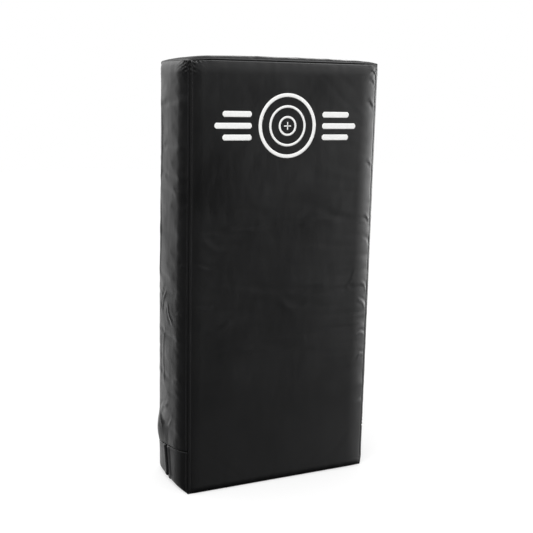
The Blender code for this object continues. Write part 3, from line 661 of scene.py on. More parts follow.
class Panel:
    """A cover panel: its grid over a flat place, its surface, and its mesh.

    Its edges are those at low u, high u, low v and high v. By edge, pressed says how deep the topstitching
    presses, and turns how round the fabric turns into the seam. Flat and taut say how much a place keeps of
    all that stands off the bulge, and of its folds.
    """

    def __init__(self, place, u_lines, v_lines, outward, face, seed, creases=(), puckers=(),
                 pressed=(1.0, 1.0, 0.2, 0.15), turns=(1.0, 1.0, 1.0, 1.0), crossed=False, flat=None,
                 taut=None):
        u, v = np.meshgrid(u_lines, v_lines, indexing="ij")
        room = (u - u_lines[0], u_lines[-1] - u, v - v_lines[0], v_lines[-1] - v)
        if crossed:
            # The grid stretches down to the slanting cross seam
            v_low = cross_seam(u) + GAP
            v = v_low + (v - v_lines[0]) * (v_lines[-1] - v_low) / (v_lines[-1] - v_lines[0])
        straight = place(u, v)
        base = swell(straight)
        first, second = [straight[..., axis] for axis in range(3) if axis != face[0]]
        calm = np.minimum.reduce(room)
        height = fold_height(face, first, second) * smooth(calm / FOLDS_FROM_SEAM)
        height = height * (taut(v) if taut else 1.0)
        normals = grid_normals(base)
        if normals[len(u_lines) // 2, len(v_lines) // 2] @ outward < 0:
            normals = -normals
        filling = UNEVEN_FILLING * value_noise(straight * FILLING_CELLS, seed)
        height = height + filling * smooth(calm / FILLING_FROM_SEAM)
        for edge, (distance, along) in enumerate(zip(room, (v, v, u, u))):
            gathers = gather_height(distance, along, seed + 10 * edge)
            height = height + gathers * smooth(calm / GATHERS_FROM_SEAM)
        for crease in creases:
            height = height + crease_height(u, v, crease) * smooth(calm / CREASES_FROM_SEAM)
        for beside, down, strength, reach in puckers:
            height = height + pucker_height(room[beside], room[down], strength, reach, seed + 50 + beside)
        if flat:
            height = height * flat(u, v)
        height = height + sum(weight * stitched_line(distance) for distance, weight in zip(room, pressed))
        drops = [turned_edge(distance, TURN_RADIUS * turn) for distance, turn in zip(room, turns)]
        height = height - np.maximum.reduce(drops)
        self.points = base + normals * height[..., None]
        self.points[..., 2] = np.maximum(self.points[..., 2], 0.0)
        faced = grid_normals(self.points)
        self.normals = faced * np.sign((faced * normals).sum(-1))[..., None]
        self.u_lines, self.v_lines, self.room = u_lines, v_lines, room
        self.outward, self.crossed = outward, crossed
        for edge, weight in enumerate(pressed):
            if weight > SEWN_THROUGH:
                line = edge_line(edge, EDGE_LINES.index(TOPSTITCH))
                sew(THREADS, self.points[line], self.normals[line], margin=PANEL_STITCH_MARGIN)

    def surface(self, u, v):
        """The point and normal at any place on the panel."""
        i = np.clip(np.searchsorted(self.u_lines, u) - 1, 0, len(self.u_lines) - 2)
        j = np.clip(np.searchsorted(self.v_lines, v) - 1, 0, len(self.v_lines) - 2)
        s = ((u - self.u_lines[i]) / (self.u_lines[i + 1] - self.u_lines[i]))[..., None]
        t = ((v - self.v_lines[j]) / (self.v_lines[j + 1] - self.v_lines[j]))[..., None]
        for grid in (self.points, self.normals):
            low = grid[i, j] * (1 - s) + grid[i + 1, j] * s
            high = grid[i, j + 1] * (1 - s) + grid[i + 1, j + 1] * s
            yield low * (1 - t) + high * t

    def make(self, name, node, u_axis, v_axis):
        build = Build()
        numbers = build.add(self.points)
        build.join(numbers)
        # The allowances of a cross seam run against each other, so that no foam shows between them
        from_low_v = -CROSS_SEAM_MEETS * v_axis if self.crossed else v_axis
        for edge, inward in enumerate((u_axis, -u_axis, from_low_v, -v_axis)):
            line = edge_line(edge)
            along, ends = (v_axis, self.room[2:]) if edge < 2 else (u_axis, self.room[:2])
            turn_in(build, numbers[line], self.points[line], inward, self.outward, along,
                    *(room[line] for room in ends))
        middle = (len(self.u_lines) // 2) * (len(self.v_lines) - 1) + len(self.v_lines) // 2
        made = build.finish(name, "pad", "vinyl", (middle, self.outward), VINYL * 0.7)
        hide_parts(node)


FACE_U = graded_lines(-HALF_WIDTH + GAP, HALF_WIDTH - GAP, PANEL_CELL)
FACE_V = graded_lines(GAP, PAD_HEIGHT - GAP, PANEL_CELL)
SIDE_U = graded_lines(-HALF_DEPTH + GAP, HALF_DEPTH - GAP, PANEL_CELL)
SIDE_V = graded_lines(SIDE_PANEL_START + GAP, PAD_HEIGHT - GAP, PANEL_CELL)

# Single creases: start, end, width and height
FRONT_CREASES = (
    ((0.122, 0.346), (0.146, 0.384), 0.0026, 0.0002),
    ((0.124, 0.352), (0.136, 0.346), 0.0022, 0.0004),
    ((0.150, 0.330), (0.171, 0.306), 0.0024, 0.0005),
    ((0.156, 0.360), (0.172, 0.338), 0.0022, 0.0004),
    ((0.146, 0.262), (0.172, 0.258), 0.0026, 0.0004),
    ((0.150, 0.214), (0.172, 0.222), 0.0028, 0.0005),
    ((0.152, 0.440), (0.172, 0.424), 0.0024, 0.0003),
    ((0.175, 0.725), (0.159, 0.729), 0.0022, 0.0008),
    ((0.175, 0.710), (0.156, 0.716), 0.0024, 0.0008),
    ((0.174, 0.673), (0.153, 0.681), 0.0028, 0.0009),
    ((0.173, 0.571), (0.155, 0.577), 0.0026, 0.0005),
    ((0.173, 0.472), (0.155, 0.479), 0.0026, 0.0005),
    ((-0.172, 0.402), (-0.120, 0.398), 0.0035, 0.0005),
    ((-0.172, 0.330), (-0.130, 0.336), 0.0030, 0.0006),
    ((-0.150, 0.290), (-0.090, 0.300), 0.0050, 0.0004),
    ((-0.160, 0.440), (-0.080, 0.425), 0.0060, 0.0004),
    ((-0.020, 0.330), (0.060, 0.318), 0.0070, 0.0004),
    ((0.020, 0.470), (0.110, 0.480), 0.0080, 0.0004),
)
LEFT_CREASES = (
    ((0.050, 0.705), (0.046, 0.500), 0.0042, 0.0008),
    ((0.054, 0.545), (0.050, 0.330), 0.0040, 0.0009),
    ((0.014, 0.352), (0.040, 0.300), 0.0030, 0.0011),
    ((0.012, 0.330), (-0.020, 0.290), 0.0030, 0.0009),
    ((-0.060, 0.325), (-0.035, 0.318), 0.0024, 0.0008),
    ((0.022, 0.290), (0.030, 0.160), 0.0040, 0.0006),
    ((0.000, 0.150), (0.045, 0.120), 0.0034, 0.0010),
    ((-0.020, 0.120), (0.020, 0.095), 0.0030, 0.0007),
    ((-0.063, 0.405), (-0.045, 0.400), 0.0022, 0.0006),
)
RIGHT_CREASES = (
    ((-0.030, 0.640), (-0.022, 0.470), 0.0050, 0.0006),
    ((0.030, 0.250), (0.046, 0.190), 0.0034, 0.0007),
    ((-0.052, 0.140), (-0.020, 0.118), 0.0032, 0.0007),
)
# Corners that gather: the seam beside, the seam they run towards, height and reach
MILD_PUCKERS = ((0, 3, 0.0005, 0.005), (1, 3, 0.0005, 0.005), (0, 2, 0.0004, 0.004), (1, 2, 0.0004, 0.004))
FRONT_PUCKERS = ((0, 3, 0.0021, 0.0034), (3, 0, 0.0010, 0.0036)) + MILD_PUCKERS[1:]
LEFT_PUCKERS = ((0, 3, 0.0021, 0.0080), (3, 0, 0.0010, 0.0050)) + MILD_PUCKERS[1:]

# Name, hinge's x and z, whether it stands upright, and its ends
HANDLES = (
    ("upper_handle", 0.0, UPPER_HANDLE_UP, False, ("left", "right")),
    ("left_handle", -HANDLE_SPREAD / 2, LOWER_HANDLES_UP, True, ("lower", "upper")),
    ("right_handle", HANDLE_SPREAD / 2, LOWER_HANDLES_UP, True, ("lower", "upper")),
)
PATCH_REACH, PATCH_FLATTENS = (0.115, 0.021, 0.026), 0.022


def sewn_down(u, v):
    """0 where a handle's patch holds the back flat, and 1 away from it."""
    free = np.ones_like(u)
    middle, half_length, half_width = PATCH_REACH
    for _, x, z, upright, _ in HANDLES:
        along, across = (v - z, u - x) if upright else (u - x, v - z)
        beyond = np.maximum(abs(abs(along) - middle) - half_length, abs(across) - half_width)
        free = free * smooth(beyond / PATCH_FLATTENS)
    return free


def taut_face(v):
    """How much of its folds the strike face keeps: few beside its ends, where the foam fills it tightly."""
    return 0.22 + 0.33 * smooth((v - 0.16) / 0.14) * smooth((0.62 - v) / 0.14)


CROSS_SEAM_TURNS = (1.0, 1.0, 2.2, 1.0)
front = Panel(lambda u, v: xyz(u, -HALF_DEPTH, v), FACE_U, FACE_V, -Y, (1, 0), 100, FRONT_CREASES,
              FRONT_PUCKERS, turns=(1.0, 1.0, 1.0, 1.6), taut=taut_face)
back = Panel(lambda u, v: xyz(u, HALF_DEPTH, v), FACE_U, FACE_V, Y, (1, 1), 200, puckers=MILD_PUCKERS,
             flat=sewn_down)
left = Panel(lambda u, v: xyz(-HALF_WIDTH, u, v), SIDE_U, SIDE_V, -X, (0, 0), 300, LEFT_CREASES, LEFT_PUCKERS,
             turns=CROSS_SEAM_TURNS, crossed=True)
right = Panel(lambda u, v: xyz(HALF_WIDTH, u, v), SIDE_U, SIDE_V, X, (0, 1), 400, RIGHT_CREASES, MILD_PUCKERS,
              turns=CROSS_SEAM_TURNS, crossed=True)
top = Panel(lambda u, v: xyz(u, v, PAD_HEIGHT), FACE_U, SIDE_U, Z, (2, 1), 500,
            pressed=(0.15, 0.15, 0.15, 0.15), turns=(1.4, 1.4, 1.6, 1.4))
front.make("cover_front", "front_panel", X, Z)
back.make("cover_back", "back_panel", X, Z)
left.make("cover_left_side", "left_side_panel", Y, Z)
right.make("cover_right_side", "right_side_panel", Y, Z)
top.make("cover_top", "top_panel", X, Y)


# The zip gusset: two strips up one side, along the bottom and up the other side

FLOOR_TURN, TURN_RUN = 0.0035, 0.0055
FLOOR_TURN_STATIONS, BOTTOM_STATIONS = 7, 30
GAP_HALF, GAP_HALF_RIGHT = 0.0036, 0.0043
LEAN_HEIGHTS, LEANS = (0.002, 0.013, 0.064), (0.0, -0.0110, 0.0000)
HEM_RADIUS, HEM_FLATNESS = 0.0012, 0.8
LEAST_REACH = 0.002
LIP_WOBBLE, WOBBLE_CELLS, WOBBLE_SEED = 0.0004, 60, 71
LIP_FULLNESS, LIP_FULL_REACH, FULL_FROM_TOP = 0.0014, 0.009, 0.004
# The columns of the flat face beyond STRIP_LINES, as shares of the width left there, those round the hem, and
# how far back under the face the last ones lie
FACE_SHARES = (0.3, 0.5, 0.68, 0.82, 0.92, 1.0)
HEM_ANGLES = (30, 60, 90, 120, 150, 180)
TURNED_UNDER = (0.002, 0.005, 0.009)
STITCHED_COLUMNS = (STRIP_LINES.index(TOPSTITCH), len(STRIP_LINES) + FACE_SHARES.index(0.82))
STITCHED_ABOVE = 0.12


def strip_path():
    """Stations along the strips: x, level, the outward direction's x and z, and how far along they lie.

    The level is 1 at the cross seam and falls to 0 where the turn to the floor starts. In the turn and along
    the bottom it is minus the height over the floor.
    """
    side_run = SIDE_PANEL_START - FLOOR_TURN
    down = np.concatenate([STRIP_LINES, np.arange(0.0185, 0.0640, 0.0022)])
    down = down[down < side_run]
    angle = np.linspace(0, math.pi / 2, FLOOR_TURN_STATIONS)
    bottom = np.linspace(-HALF_WIDTH + FLOOR_TURN, 0.0, BOTTOM_STATIONS)[1:]
    parts = (
        (-HALF_WIDTH, 1 - down / side_run, -1.0, 0.0, down),
        (-HALF_WIDTH + FLOOR_TURN * (1 - np.cos(angle)), -FLOOR_TURN * (1 - np.sin(angle)),
         -np.cos(angle), -np.sin(angle), side_run + FLOOR_TURN * angle),
        (bottom, 0.0, 0.0, -1.0, side_run + TURN_RUN + bottom + HALF_WIDTH - FLOOR_TURN),
    )
    half = np.concatenate([np.stack(np.broadcast_arrays(*part), -1) for part in parts])
    return np.concatenate([half, half[-2::-1] * (-1, 1, -1, 1, 1)])


def lean(x, z):
    """How far the zip leans off its straight line. It does so on the left side."""
    return np.where(x < 0, np.interp(z, LEAN_HEIGHTS, LEANS), 0.0)


def strip_columns(x, width):
    """By column: the distance from the long seam, how far the hem lies beyond that, and how deep."""
    start = STRIP_LINES[-1]
    reach = np.maximum(width - HEM_RADIUS - start, LEAST_REACH)[:, None]
    edge = np.concatenate([np.tile(STRIP_LINES, (len(x), 1)), start + reach * FACE_SHARES], 1)
    turns = np.radians(HEM_ANGLES)
    beyond = np.concatenate([np.zeros(edge.shape[1]), HEM_RADIUS * np.sin(turns), -np.array(TURNED_UNDER)])
    round_hem = np.concatenate([np.zeros(edge.shape[1]), 1 - np.cos(turns), np.full(len(TURNED_UNDER), 2.0)])
    edge = np.pad(edge, ((0, 0), (0, len(beyond) - edge.shape[1])), mode="edge")
    return edge, beyond, HEM_RADIUS * HEM_FLATNESS * round_hem


def strip(name, facing, node):
    """One strip: flat face, rounded hem at the zip, and the hem turned under."""
    x, level, out_x, out_z, run = strip_path().T
    outward = xyz(out_x, 0.0, out_z)
    on_side = (level > 0)[:, None]
    # The gap slants on the left side and stays straight elsewhere
    half_gap = np.where((level > 0) & (x > 0), GAP_HALF_RIGHT, GAP_HALF)
    leaning = lean(x, np.maximum(level, 0.0) * cross_seam(ZIP_Y))
    wobble = LIP_WOBBLE * wave(run * WOBBLE_CELLS + facing * 9, WOBBLE_SEED)
    fold_y = ZIP_Y + leaning + facing * half_gap + wobble
    seam_y = facing * (HALF_DEPTH - GAP)
    edge, beyond, depth = strip_columns(x, abs(seam_y - fold_y))
    y = seam_y - facing * (edge + beyond)
    run, level = run[:, None], level[:, None]
    z = np.where(on_side, FLOOR_TURN + (cross_seam(y) - GAP - FLOOR_TURN) * level, -level)
    base = swell(xyz(x[:, None], y, z))
    faced = grid_normals(base)
    faced = faced * np.where((faced * outward[:, None]).sum(-1) < 0, -1, 1)[..., None]
    direction = np.where((depth == 0)[:, None], faced, outward[:, None])

    height = stitched_line(edge) + 0.2 * stitched_line(run)
    height = height - np.maximum(turned_edge(edge, TURN_RADIUS), turned_edge(run, 1.5 * TURN_RADIUS)) - depth
    near_hem = np.clip(1 - (edge[:, -1:] - edge) / LIP_FULL_REACH, 0, 1)
    full = LIP_FULLNESS * np.sin(math.pi * near_hem) * (depth == 0)
    full = full + gather_height(run, y, 610 + facing) + gather_height(edge, run, 640 + facing)
    height = height + full * smooth(run / FULL_FROM_TOP) * on_side
    height = np.where(on_side, height, np.minimum(height, 0.0))
    points = base + direction * height[..., None]
    points[..., 2] = np.maximum(points[..., 2], 0.0)

    build = Build()
    numbers = build.add(points)
    build.join(numbers)
    far = np.ones_like(x)
    turn_in(build, numbers[:, 0], points[:, 0], -facing * Y, outward, X, far, far)
    for row in (0, -1):
        turn_in(build, numbers[row], points[row], CROSS_SEAM_MEETS * Z, outward[row], -facing * Y,
                abs(y[row] - seam_y), np.ones_like(y[row]))
    upright = level[:, 0] > STITCHED_ABOVE
    below = ~on_side[:, 0] & (abs(x) < HALF_WIDTH - 2 * FLOOR_TURN)
    for column in STITCHED_COLUMNS:
        for part in (upright & (x < 0), below, upright & (x > 0)):
            sew(THREADS, points[part, column], outward[part], margin=STRIP_STITCH_MARGIN)
    on_face = 3 * (y.shape[1] - 1) + STITCHED_COLUMNS[0] + 4
    made = build.finish(name, "pad", "vinyl", (on_face, outward[3]), VINYL * 0.6)
    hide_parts(node)


strip("gusset_front_strip", -1, "zip_boxing_front")
strip("gusset_back_strip", 1, "zip_boxing_back")
THREADS.finish("seam_threads", "pad", "thread")


# The zip under the gap: woven tapes, and a coil of small turns along each

COIL_PITCH, COIL_HEAD, COIL_SLANT = 0.0013, 0.0004, 0.12
TAPE_STEP, TAPE_LINES = 0.0025, 9
TAPE_SINKS = 0.0012


def zip_stations(inset, pitch, top):
    """Places along the zip at a depth under the cover: x, z and the outward direction."""
    radius = ZIP_TURN - inset
    upright, turn = top - ZIP_TURN, math.pi / 2 * radius
    half = upright + turn + HALF_WIDTH - ZIP_TURN
    run = (np.arange(int(2 * half / pitch)) + 0.5) * pitch
    side = np.where(run < half, -1.0, 1.0)
    at = np.minimum(run, 2 * half - run)
    angle = np.clip((at - upright) / radius, 0, math.pi / 2)
    x = HALF_WIDTH - ZIP_TURN + radius * np.cos(angle) - np.clip(at - upright - turn, 0, None)
    z = ZIP_TURN - radius * np.sin(angle) + np.clip(upright - at, 0, None)
    return side * x, z, xyz(side * np.cos(angle), 0.0, -np.sin(angle))


def make_zip(name, facing, ahead):
    """One half of the zip. Its coil's turns lie half a pitch ahead of the other half's."""
    x, z, outward = zip_stations(TAPE_INSET, TAPE_STEP, TAPE_TOP)
    x = x - np.sign(x) * TAPE_SINKS * smooth((z - TEETH_TOP) / 0.004)
    y = (ZIP_Y + lean(x, z))[:, None] + facing * (COIL_HEAD + TAPE_WIDTH * np.linspace(0, 1, TAPE_LINES))
    tape = swell(xyz(x[:, None], y, z[:, None]))
    made = sheet(f"zip_woven_{name}", "pad", "webbing", tape, (0, outward[0]), TAPE_THICKNESS)
    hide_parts(f"zip_tape_{name}")
    stations = zip_stations(TEETH_INSET + TEETH_HEIGHT / 2, COIL_PITCH, TEETH_TOP)
    x, z, outward = (values[ahead:] for values in stations)
    far = CHAIN_SPLIT / 2 + TEETH_WIDTH
    along = unit(np.gradient(xyz(x, 0.0, z), axis=0))
    centres = swell(xyz(x, ZIP_Y + lean(x, z) + facing * (COIL_HEAD + far) / 2, z))
    coil = Build()
    capsules(coil, centres + along * COIL_PITCH * 0.5 * ahead, Y * facing + along * COIL_SLANT, outward,
             far - COIL_HEAD, COIL_PITCH * 0.36, TEETH_HEIGHT / 2)
    made = coil.finish(f"zip_coil_{name}", "pad", "zip_plastic")
    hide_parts(f"zip_teeth_{name}")


make_zip("front", -1, 0)
make_zip("back", 1, 1)


# Handles. Their frame has X along the hinge axis, Y away from the pad and its origin on the axis.

RISE_OF_BENDS = (LOWER_BEND + UPPER_BEND) * (1 - math.cos(RISE_ANGLE))
RISE_LENGTH = (GRIP_ABOVE_HINGE - RISE_OF_BENDS) / math.sin(RISE_ANGLE)
RUN_OF_BENDS = (LOWER_BEND + UPPER_BEND) * math.sin(RISE_ANGLE)
HALF_SPAN = GRIP_STRAIGHT / 2 + RUN_OF_BENDS + RISE_LENGTH * math.cos(RISE_ANGLE)
LOWER_ARC, UPPER_ARC = LOWER_BEND * RISE_ANGLE, UPPER_BEND * RISE_ANGLE
ARCH_LENGTH = 2 * (LOWER_ARC + RISE_LENGTH + UPPER_ARC + GRIP_STRAIGHT / 2)
PATCH_TOP = SEAM_GAP + PATCH_THICKNESS - HINGE_ABOVE_BACK
END_MIDDLE_OUT = PATCH_TOP + SEAM_GAP + END_HALF_THICKNESS
END_START = HALF_SPAN + NECK_GAP
END_FLAT = END_START + END_TAPER
END_MIDDLE = END_FLAT + END_LENGTH / 2
END_TIP = 0.0022

SLEEVE_SIDES, SLEEVE_STEP, END_SIDES = 48, 0.0016, 96
PLEATS = 13
SLEEVE_PLEAT, SLEEVE_PLEAT_REACH = 0.00055, 0.014
WRINKLE, WRINKLE_PLACE, WRINKLE_REACH, WRINKLE_PITCH = 0.00075, 0.045, 0.016, 0.0013
SLEEVE_SLACK, SLACK_CELLS, SLACK_FROM_NECK = 0.0005, 55, 0.02
SLEEVE_RIDGE, RIDGE_BESIDE, RIDGE_REACH = 0.0004, 0.0022, 0.0011
SLEEVE_SEAM, SLEEVE_SEAM_REACH = 0.0009, 0.0007
END_PUFF, PUFF_FROM_TAPER, BOX_GROOVE, BOX_GROOVE_REACH = 0.00045, 0.004, 0.00030, 0.0011
END_RIPPLE, RIPPLE_CELLS, RIPPLE_FROM_NECK = 0.0003, 120, 0.01
END_PLEAT, PLEAT_BEYOND_TAPER, PLEAT_UNDERNEATH = 0.0006, 0.008, 0.4
END_SQUARENESS = 0.72
SLEEVE_STITCHES = (0.0038, 0.0029, 0.004)
END_STITCH_PITCH, END_STITCH_LENGTH, BOX_MARGIN = 0.0036, 0.0028, 0.0004
PATCH_CORNER, LEAST_CORNER = 0.0045, 0.0008
PATCH_STITCH_INSET, BOX_INSET = 0.0022, 0.004
PATCH_RIPPLE, PATCH_RIPPLE_CELLS, PATCH_RIPPLES_FROM = 0.00012, 130, 3
BOX_THREAD_SINKS, PATCH_THREAD_SINKS = 0.00005, 0.0002
# The patch's rings from its lower edge to its inside: how far in, and how high in thicknesses
PATCH_PROFILE = ((0.0, -1.0), (0.0, -0.45), (0.0003, -0.1), (0.0008, 0.0), (0.0014, 0.02), (0.0018, -0.12),
                 (PATCH_STITCH_INSET, -0.30), (0.0027, -0.12), (0.0034, 0.05), (0.0060, 0.08), (0.0110, 0.0))


def arch(run):
    """Centre and slope angle of the arch at distances along it from its left neck."""
    mirrored = run > ARCH_LENGTH / 2
    at = np.where(mirrored, ARCH_LENGTH - run, run)
    first = np.clip(at, 0, LOWER_ARC) / LOWER_BEND
    straight = np.clip(at - LOWER_ARC, 0, RISE_LENGTH)
    last = RISE_ANGLE - np.clip(at - LOWER_ARC - RISE_LENGTH, 0, UPPER_ARC) / UPPER_BEND
    level = np.clip(at - LOWER_ARC - RISE_LENGTH - UPPER_ARC, 0, None)
    x = -HALF_SPAN + LOWER_BEND * np.sin(first) + straight * math.cos(RISE_ANGLE)
    x = x + UPPER_BEND * (math.sin(RISE_ANGLE) - np.sin(last)) + level
    y = LOWER_BEND * (1 - np.cos(first)) + straight * math.sin(RISE_ANGLE)
    y = y + UPPER_BEND * (np.cos(last) - math.cos(RISE_ANGLE))
    angle = np.where(at < LOWER_ARC, first, last)
    return np.where(mirrored, -x, x), y, np.where(mirrored, -angle, angle)


def round_section(x, y, angle, half_across, half_out, power, sides):
    """Rings of points square to a path in the handle's XY plane, from an oval towards a rectangle."""
    turns = 2 * math.pi * (np.arange(sides) + 0.5) / sides
    x, y, angle, half_across, half_out, power = (
        np.reshape(values, (-1, 1)) for values in (x, y, angle, half_across, half_out, power))
    across = half_across * np.sign(np.cos(turns)) * abs(np.cos(turns)) ** power
    out = half_out * np.sign(np.sin(turns)) * abs(np.sin(turns)) ** power
    return xyz(x - out * np.sin(angle), y + out * np.cos(angle), across), turns


def handle_placer(hinge, upright):
    """Takes points of a handle's frame to the back of the pad."""
    def place(points):
        x, y, z = np.moveaxis(points, -1, 0)
        return swell(xyz(-z, y, x) + hinge if upright else points + hinge)
    return place


def lift_off(place, points, away):
    """How points of a handle's frame move on the pad when they are lifted a little."""
    return place(points + away * 0.01) - place(points)


def make_sleeve(name, place, seed):
    """The vinyl tube round the grip, with pleats at its necks, wrinkles in its bends and a seam inside."""
    run = np.linspace(0.0, ARCH_LENGTH, int(ARCH_LENGTH / SLEEVE_STEP))
    x, y, angle = arch(run)
    widened = smooth(y / GRIP_ABOVE_HINGE)
    across, out = (blend(neck, GRIP_RADIUS, widened) for neck in (NECK_HALF_ACROSS, NECK_HALF_OUT))
    points, turns = round_section(x, y, angle, across, out, 1.0, SLEEVE_SIDES)
    away = points - xyz(x, y, 0.0)[:, None]
    from_seam = abs(turns - 1.5 * math.pi) * np.linalg.norm(away, axis=-1)
    away = unit(away)
    run = run[:, None]
    from_neck = np.minimum(run, ARCH_LENGTH - run)
    pleats = np.cos(PLEATS * turns + 1.2 * np.sin(2 * turns + seed)) - 0.6
    pleats = SLEEVE_PLEAT * np.exp(-from_neck / SLEEVE_PLEAT_REACH) * pleats
    wrinkles = WRINKLE * np.clip(-np.sin(turns), 0, 1) * hump(from_neck - WRINKLE_PLACE, WRINKLE_REACH)
    wrinkles = wrinkles * np.sin(run / WRINKLE_PITCH + 1.5 * np.sin(3 * turns + seed))
    slack = SLEEVE_SLACK * value_noise(points * SLACK_CELLS + seed, seed)
    slack = slack * np.clip(from_neck / SLACK_FROM_NECK, 0, 1)
    seam = SLEEVE_RIDGE * hump(from_seam - RIDGE_BESIDE, RIDGE_REACH)
    seam = seam - SLEEVE_SEAM * hump(from_seam, SLEEVE_SEAM_REACH)
    placed = place(points + away * (pleats + wrinkles + slack + seam)[..., None])
    outward = placed[0, 0] - placed[0].mean(0)
    made = sheet(f"{name}_sleeve", name, "vinyl_trim", placed, (0, outward), VINYL * 0.8, closed=True)
    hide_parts(f"{name}_grip_sleeve")
    threads = Build()
    for side in (-1, 1):
        column = int(round(0.75 * SLEEVE_SIDES + side * 1.5 - 0.5))
        normals = unit(lift_off(place, points[:, column], away[:, column]))
        sew(threads, placed[:, column], normals, *SLEEVE_STITCHES)
    threads.finish(f"{name}_sleeve_threads", name, "thread")


def end_stations():
    """Stations along a sewn end, from its neck to its tip: x, how far it is pressed, and how full it is."""
    tip = END_FLAT + END_LENGTH - END_TIP
    x = np.concatenate([np.linspace(END_START, END_FLAT, 22), np.linspace(END_FLAT, tip, 26)[1:],
                        tip + END_TIP * np.sin(np.linspace(0, math.pi / 2, 7)[1:])])
    closing = np.clip((x - tip) / END_TIP, 0, 1)
    return x, smooth((x - END_START) / END_TAPER), np.sqrt(np.maximum(1 - closing**2, 0.02))


def box_lines():
    """The boxed cross of stitches: pairs of corners as distances along and across the sewn end."""
    half_x, half_z = END_LENGTH / 2 - BOX_INSET, END_HALF_ACROSS - BOX_INSET
    corners = np.array([(-half_x, -half_z), (half_x, -half_z), (half_x, half_z), (-half_x, half_z)])
    return [corners[[start, stop]] for start, stop in ((0, 1), (1, 2), (2, 3), (3, 0), (0, 2), (1, 3))]


def distance_to(x, z, line):
    (x0, z0), (x1, z1) = line
    length = math.hypot(x1 - x0, z1 - z0)
    dx, dz = (x1 - x0) / length, (z1 - z0) / length
    along = np.clip((x - x0) * dx + (z - z0) * dz, 0, length)
    return np.hypot(x - x0 - along * dx, z - z0 - along * dz)


def make_end(name, end, side, place, seed):
    """A handle's end: gathered round at the neck, pressed flat where it is sewn through the patch."""
    x, pressed, full = end_stations()
    across = blend(NECK_HALF_ACROSS, END_HALF_ACROSS, pressed) - END_TIP * (1 - full)
    out = blend(NECK_HALF_OUT, END_HALF_THICKNESS, pressed) * full
    y = END_MIDDLE_OUT * pressed
    points, turns = round_section(x, y, 0.0, across, out, 1.0 - END_SQUARENESS * pressed, END_SIDES)
    centres = xyz(x, y, 0.0)[:, None]
    x, full = x[:, None], full[:, None]
    top = np.clip(np.sin(turns) * 3, 0, 1)
    from_lines = [distance_to(points[..., 0] - END_MIDDLE, points[..., 2], line) for line in box_lines()]
    groove = hump(np.min(from_lines, axis=0), BOX_GROOVE_REACH)
    puff = END_PUFF * (1 - groove) * smooth((x - END_FLAT) / PUFF_FROM_TAPER) * full
    ripple = END_RIPPLE * value_noise(points * RIPPLE_CELLS + seed, seed) * top
    ripple = ripple * smooth((x - END_START) / RIPPLE_FROM_NECK)
    points[..., 1] += (puff - BOX_GROOVE * groove + ripple) * top
    taper = np.clip((x - END_START) / (END_TAPER + PLEAT_BEYOND_TAPER), 0, 1)
    pleats = END_PLEAT * (1 - taper) ** 1.2 * (np.cos(PLEATS * turns + seed) - 0.5)
    away = unit(points - centres)
    pleats = pleats * np.where(away[..., 1] < 0, PLEAT_UNDERNEATH, 1.0)
    points = points + away * pleats[..., None]
    points[..., 1] = np.maximum(points[..., 1], END_MIDDLE_OUT - END_HALF_THICKNESS)
    points[..., 0] *= side
    made = sheet(f"{name}_{end}_sewn_end", "pad", "vinyl_trim", place(points), closed=True, capped=True)
    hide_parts(f"{name}_{end}_end")


def patch_ring(inset, out):
    """Points round the patch, this far inside its edge: seven round each corner and nine along each side."""
    corner = max(PATCH_CORNER - inset, LEAST_CORNER)
    half_sizes = np.array([END_LENGTH / 2, END_HALF_ACROSS]) + PATCH_MARGIN - inset - corner
    centres = half_sizes * ((1, 1), (-1, 1), (-1, -1), (1, -1))
    outline = []
    for k, centre in enumerate(centres):
        turns = np.radians(np.linspace(90 * k, 90 * (k + 1), 7))
        outline.append(centre + corner * np.stack([np.cos(turns), np.sin(turns)], -1))
        shares = np.linspace(0, 1, 11)[1:-1, None]
        outline.append(outline[-1][-1] + (centres[(k + 1) % 4] - centre) * shares)
    x, z = np.concatenate(outline).T
    return xyz(END_MIDDLE + x, out, z)


def make_patch(name, end, side, place, seed):
    """The vinyl patch under a sewn end, with round corners and a pressed line of edge stitches."""
    grid = np.stack([patch_ring(inset, PATCH_TOP + up * PATCH_THICKNESS) for inset, up in PATCH_PROFILE])
    inner = grid[PATCH_RIPPLES_FROM:]
    inner[..., 1] += PATCH_RIPPLE * value_noise(inner * PATCH_RIPPLE_CELLS + seed, seed)
    grid[..., 0] *= side
    made = sheet(f"{name}_{end}_backing_patch", "pad", "vinyl_trim", place(grid), closed=True, capped=True)
    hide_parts(f"{name}_{end}_patch")


def make_threads(name, end, side, place):
    """Each stitch of the boxed cross, and those round the patch."""
    lines = []
    for line in box_lines():
        x, z = blend(*line, np.linspace(0, 1, 24)[:, None]).T
        y = END_MIDDLE_OUT + END_HALF_THICKNESS - BOX_THREAD_SINKS
        lines.append((xyz(END_MIDDLE + x, y, z), BOX_MARGIN))
    ring = patch_ring(PATCH_STITCH_INSET, PATCH_TOP - PATCH_THREAD_SINKS)
    lines.append((np.concatenate([ring, ring[:1]]), 0.0))
    threads = Build()
    for line, margin in lines:
        line = line * (side, 1, 1)
        sew(threads, place(line), lift_off(place, line, Y), END_STITCH_PITCH, END_STITCH_LENGTH, margin)
    made = threads.finish(f"{name}_{end}_threads", "pad", "thread")
    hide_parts(f"{name}_{end}_stitching")


for count, (name, hinge_x, hinge_z, upright, end_names) in enumerate(HANDLES):
    place = handle_placer((hinge_x, HALF_DEPTH + HINGE_ABOVE_BACK, hinge_z), upright)
    make_sleeve(name, place, 20 + count)
    for side, end in zip((-1, 1), end_names):
        make_end(name, end, side, place, 30 + 2 * count + side)
        make_patch(name, end, side, place, 50 + 2 * count + side)
        make_threads(name, end, side, place)


# The printed mark: plain rings to aim at, with bars beside them

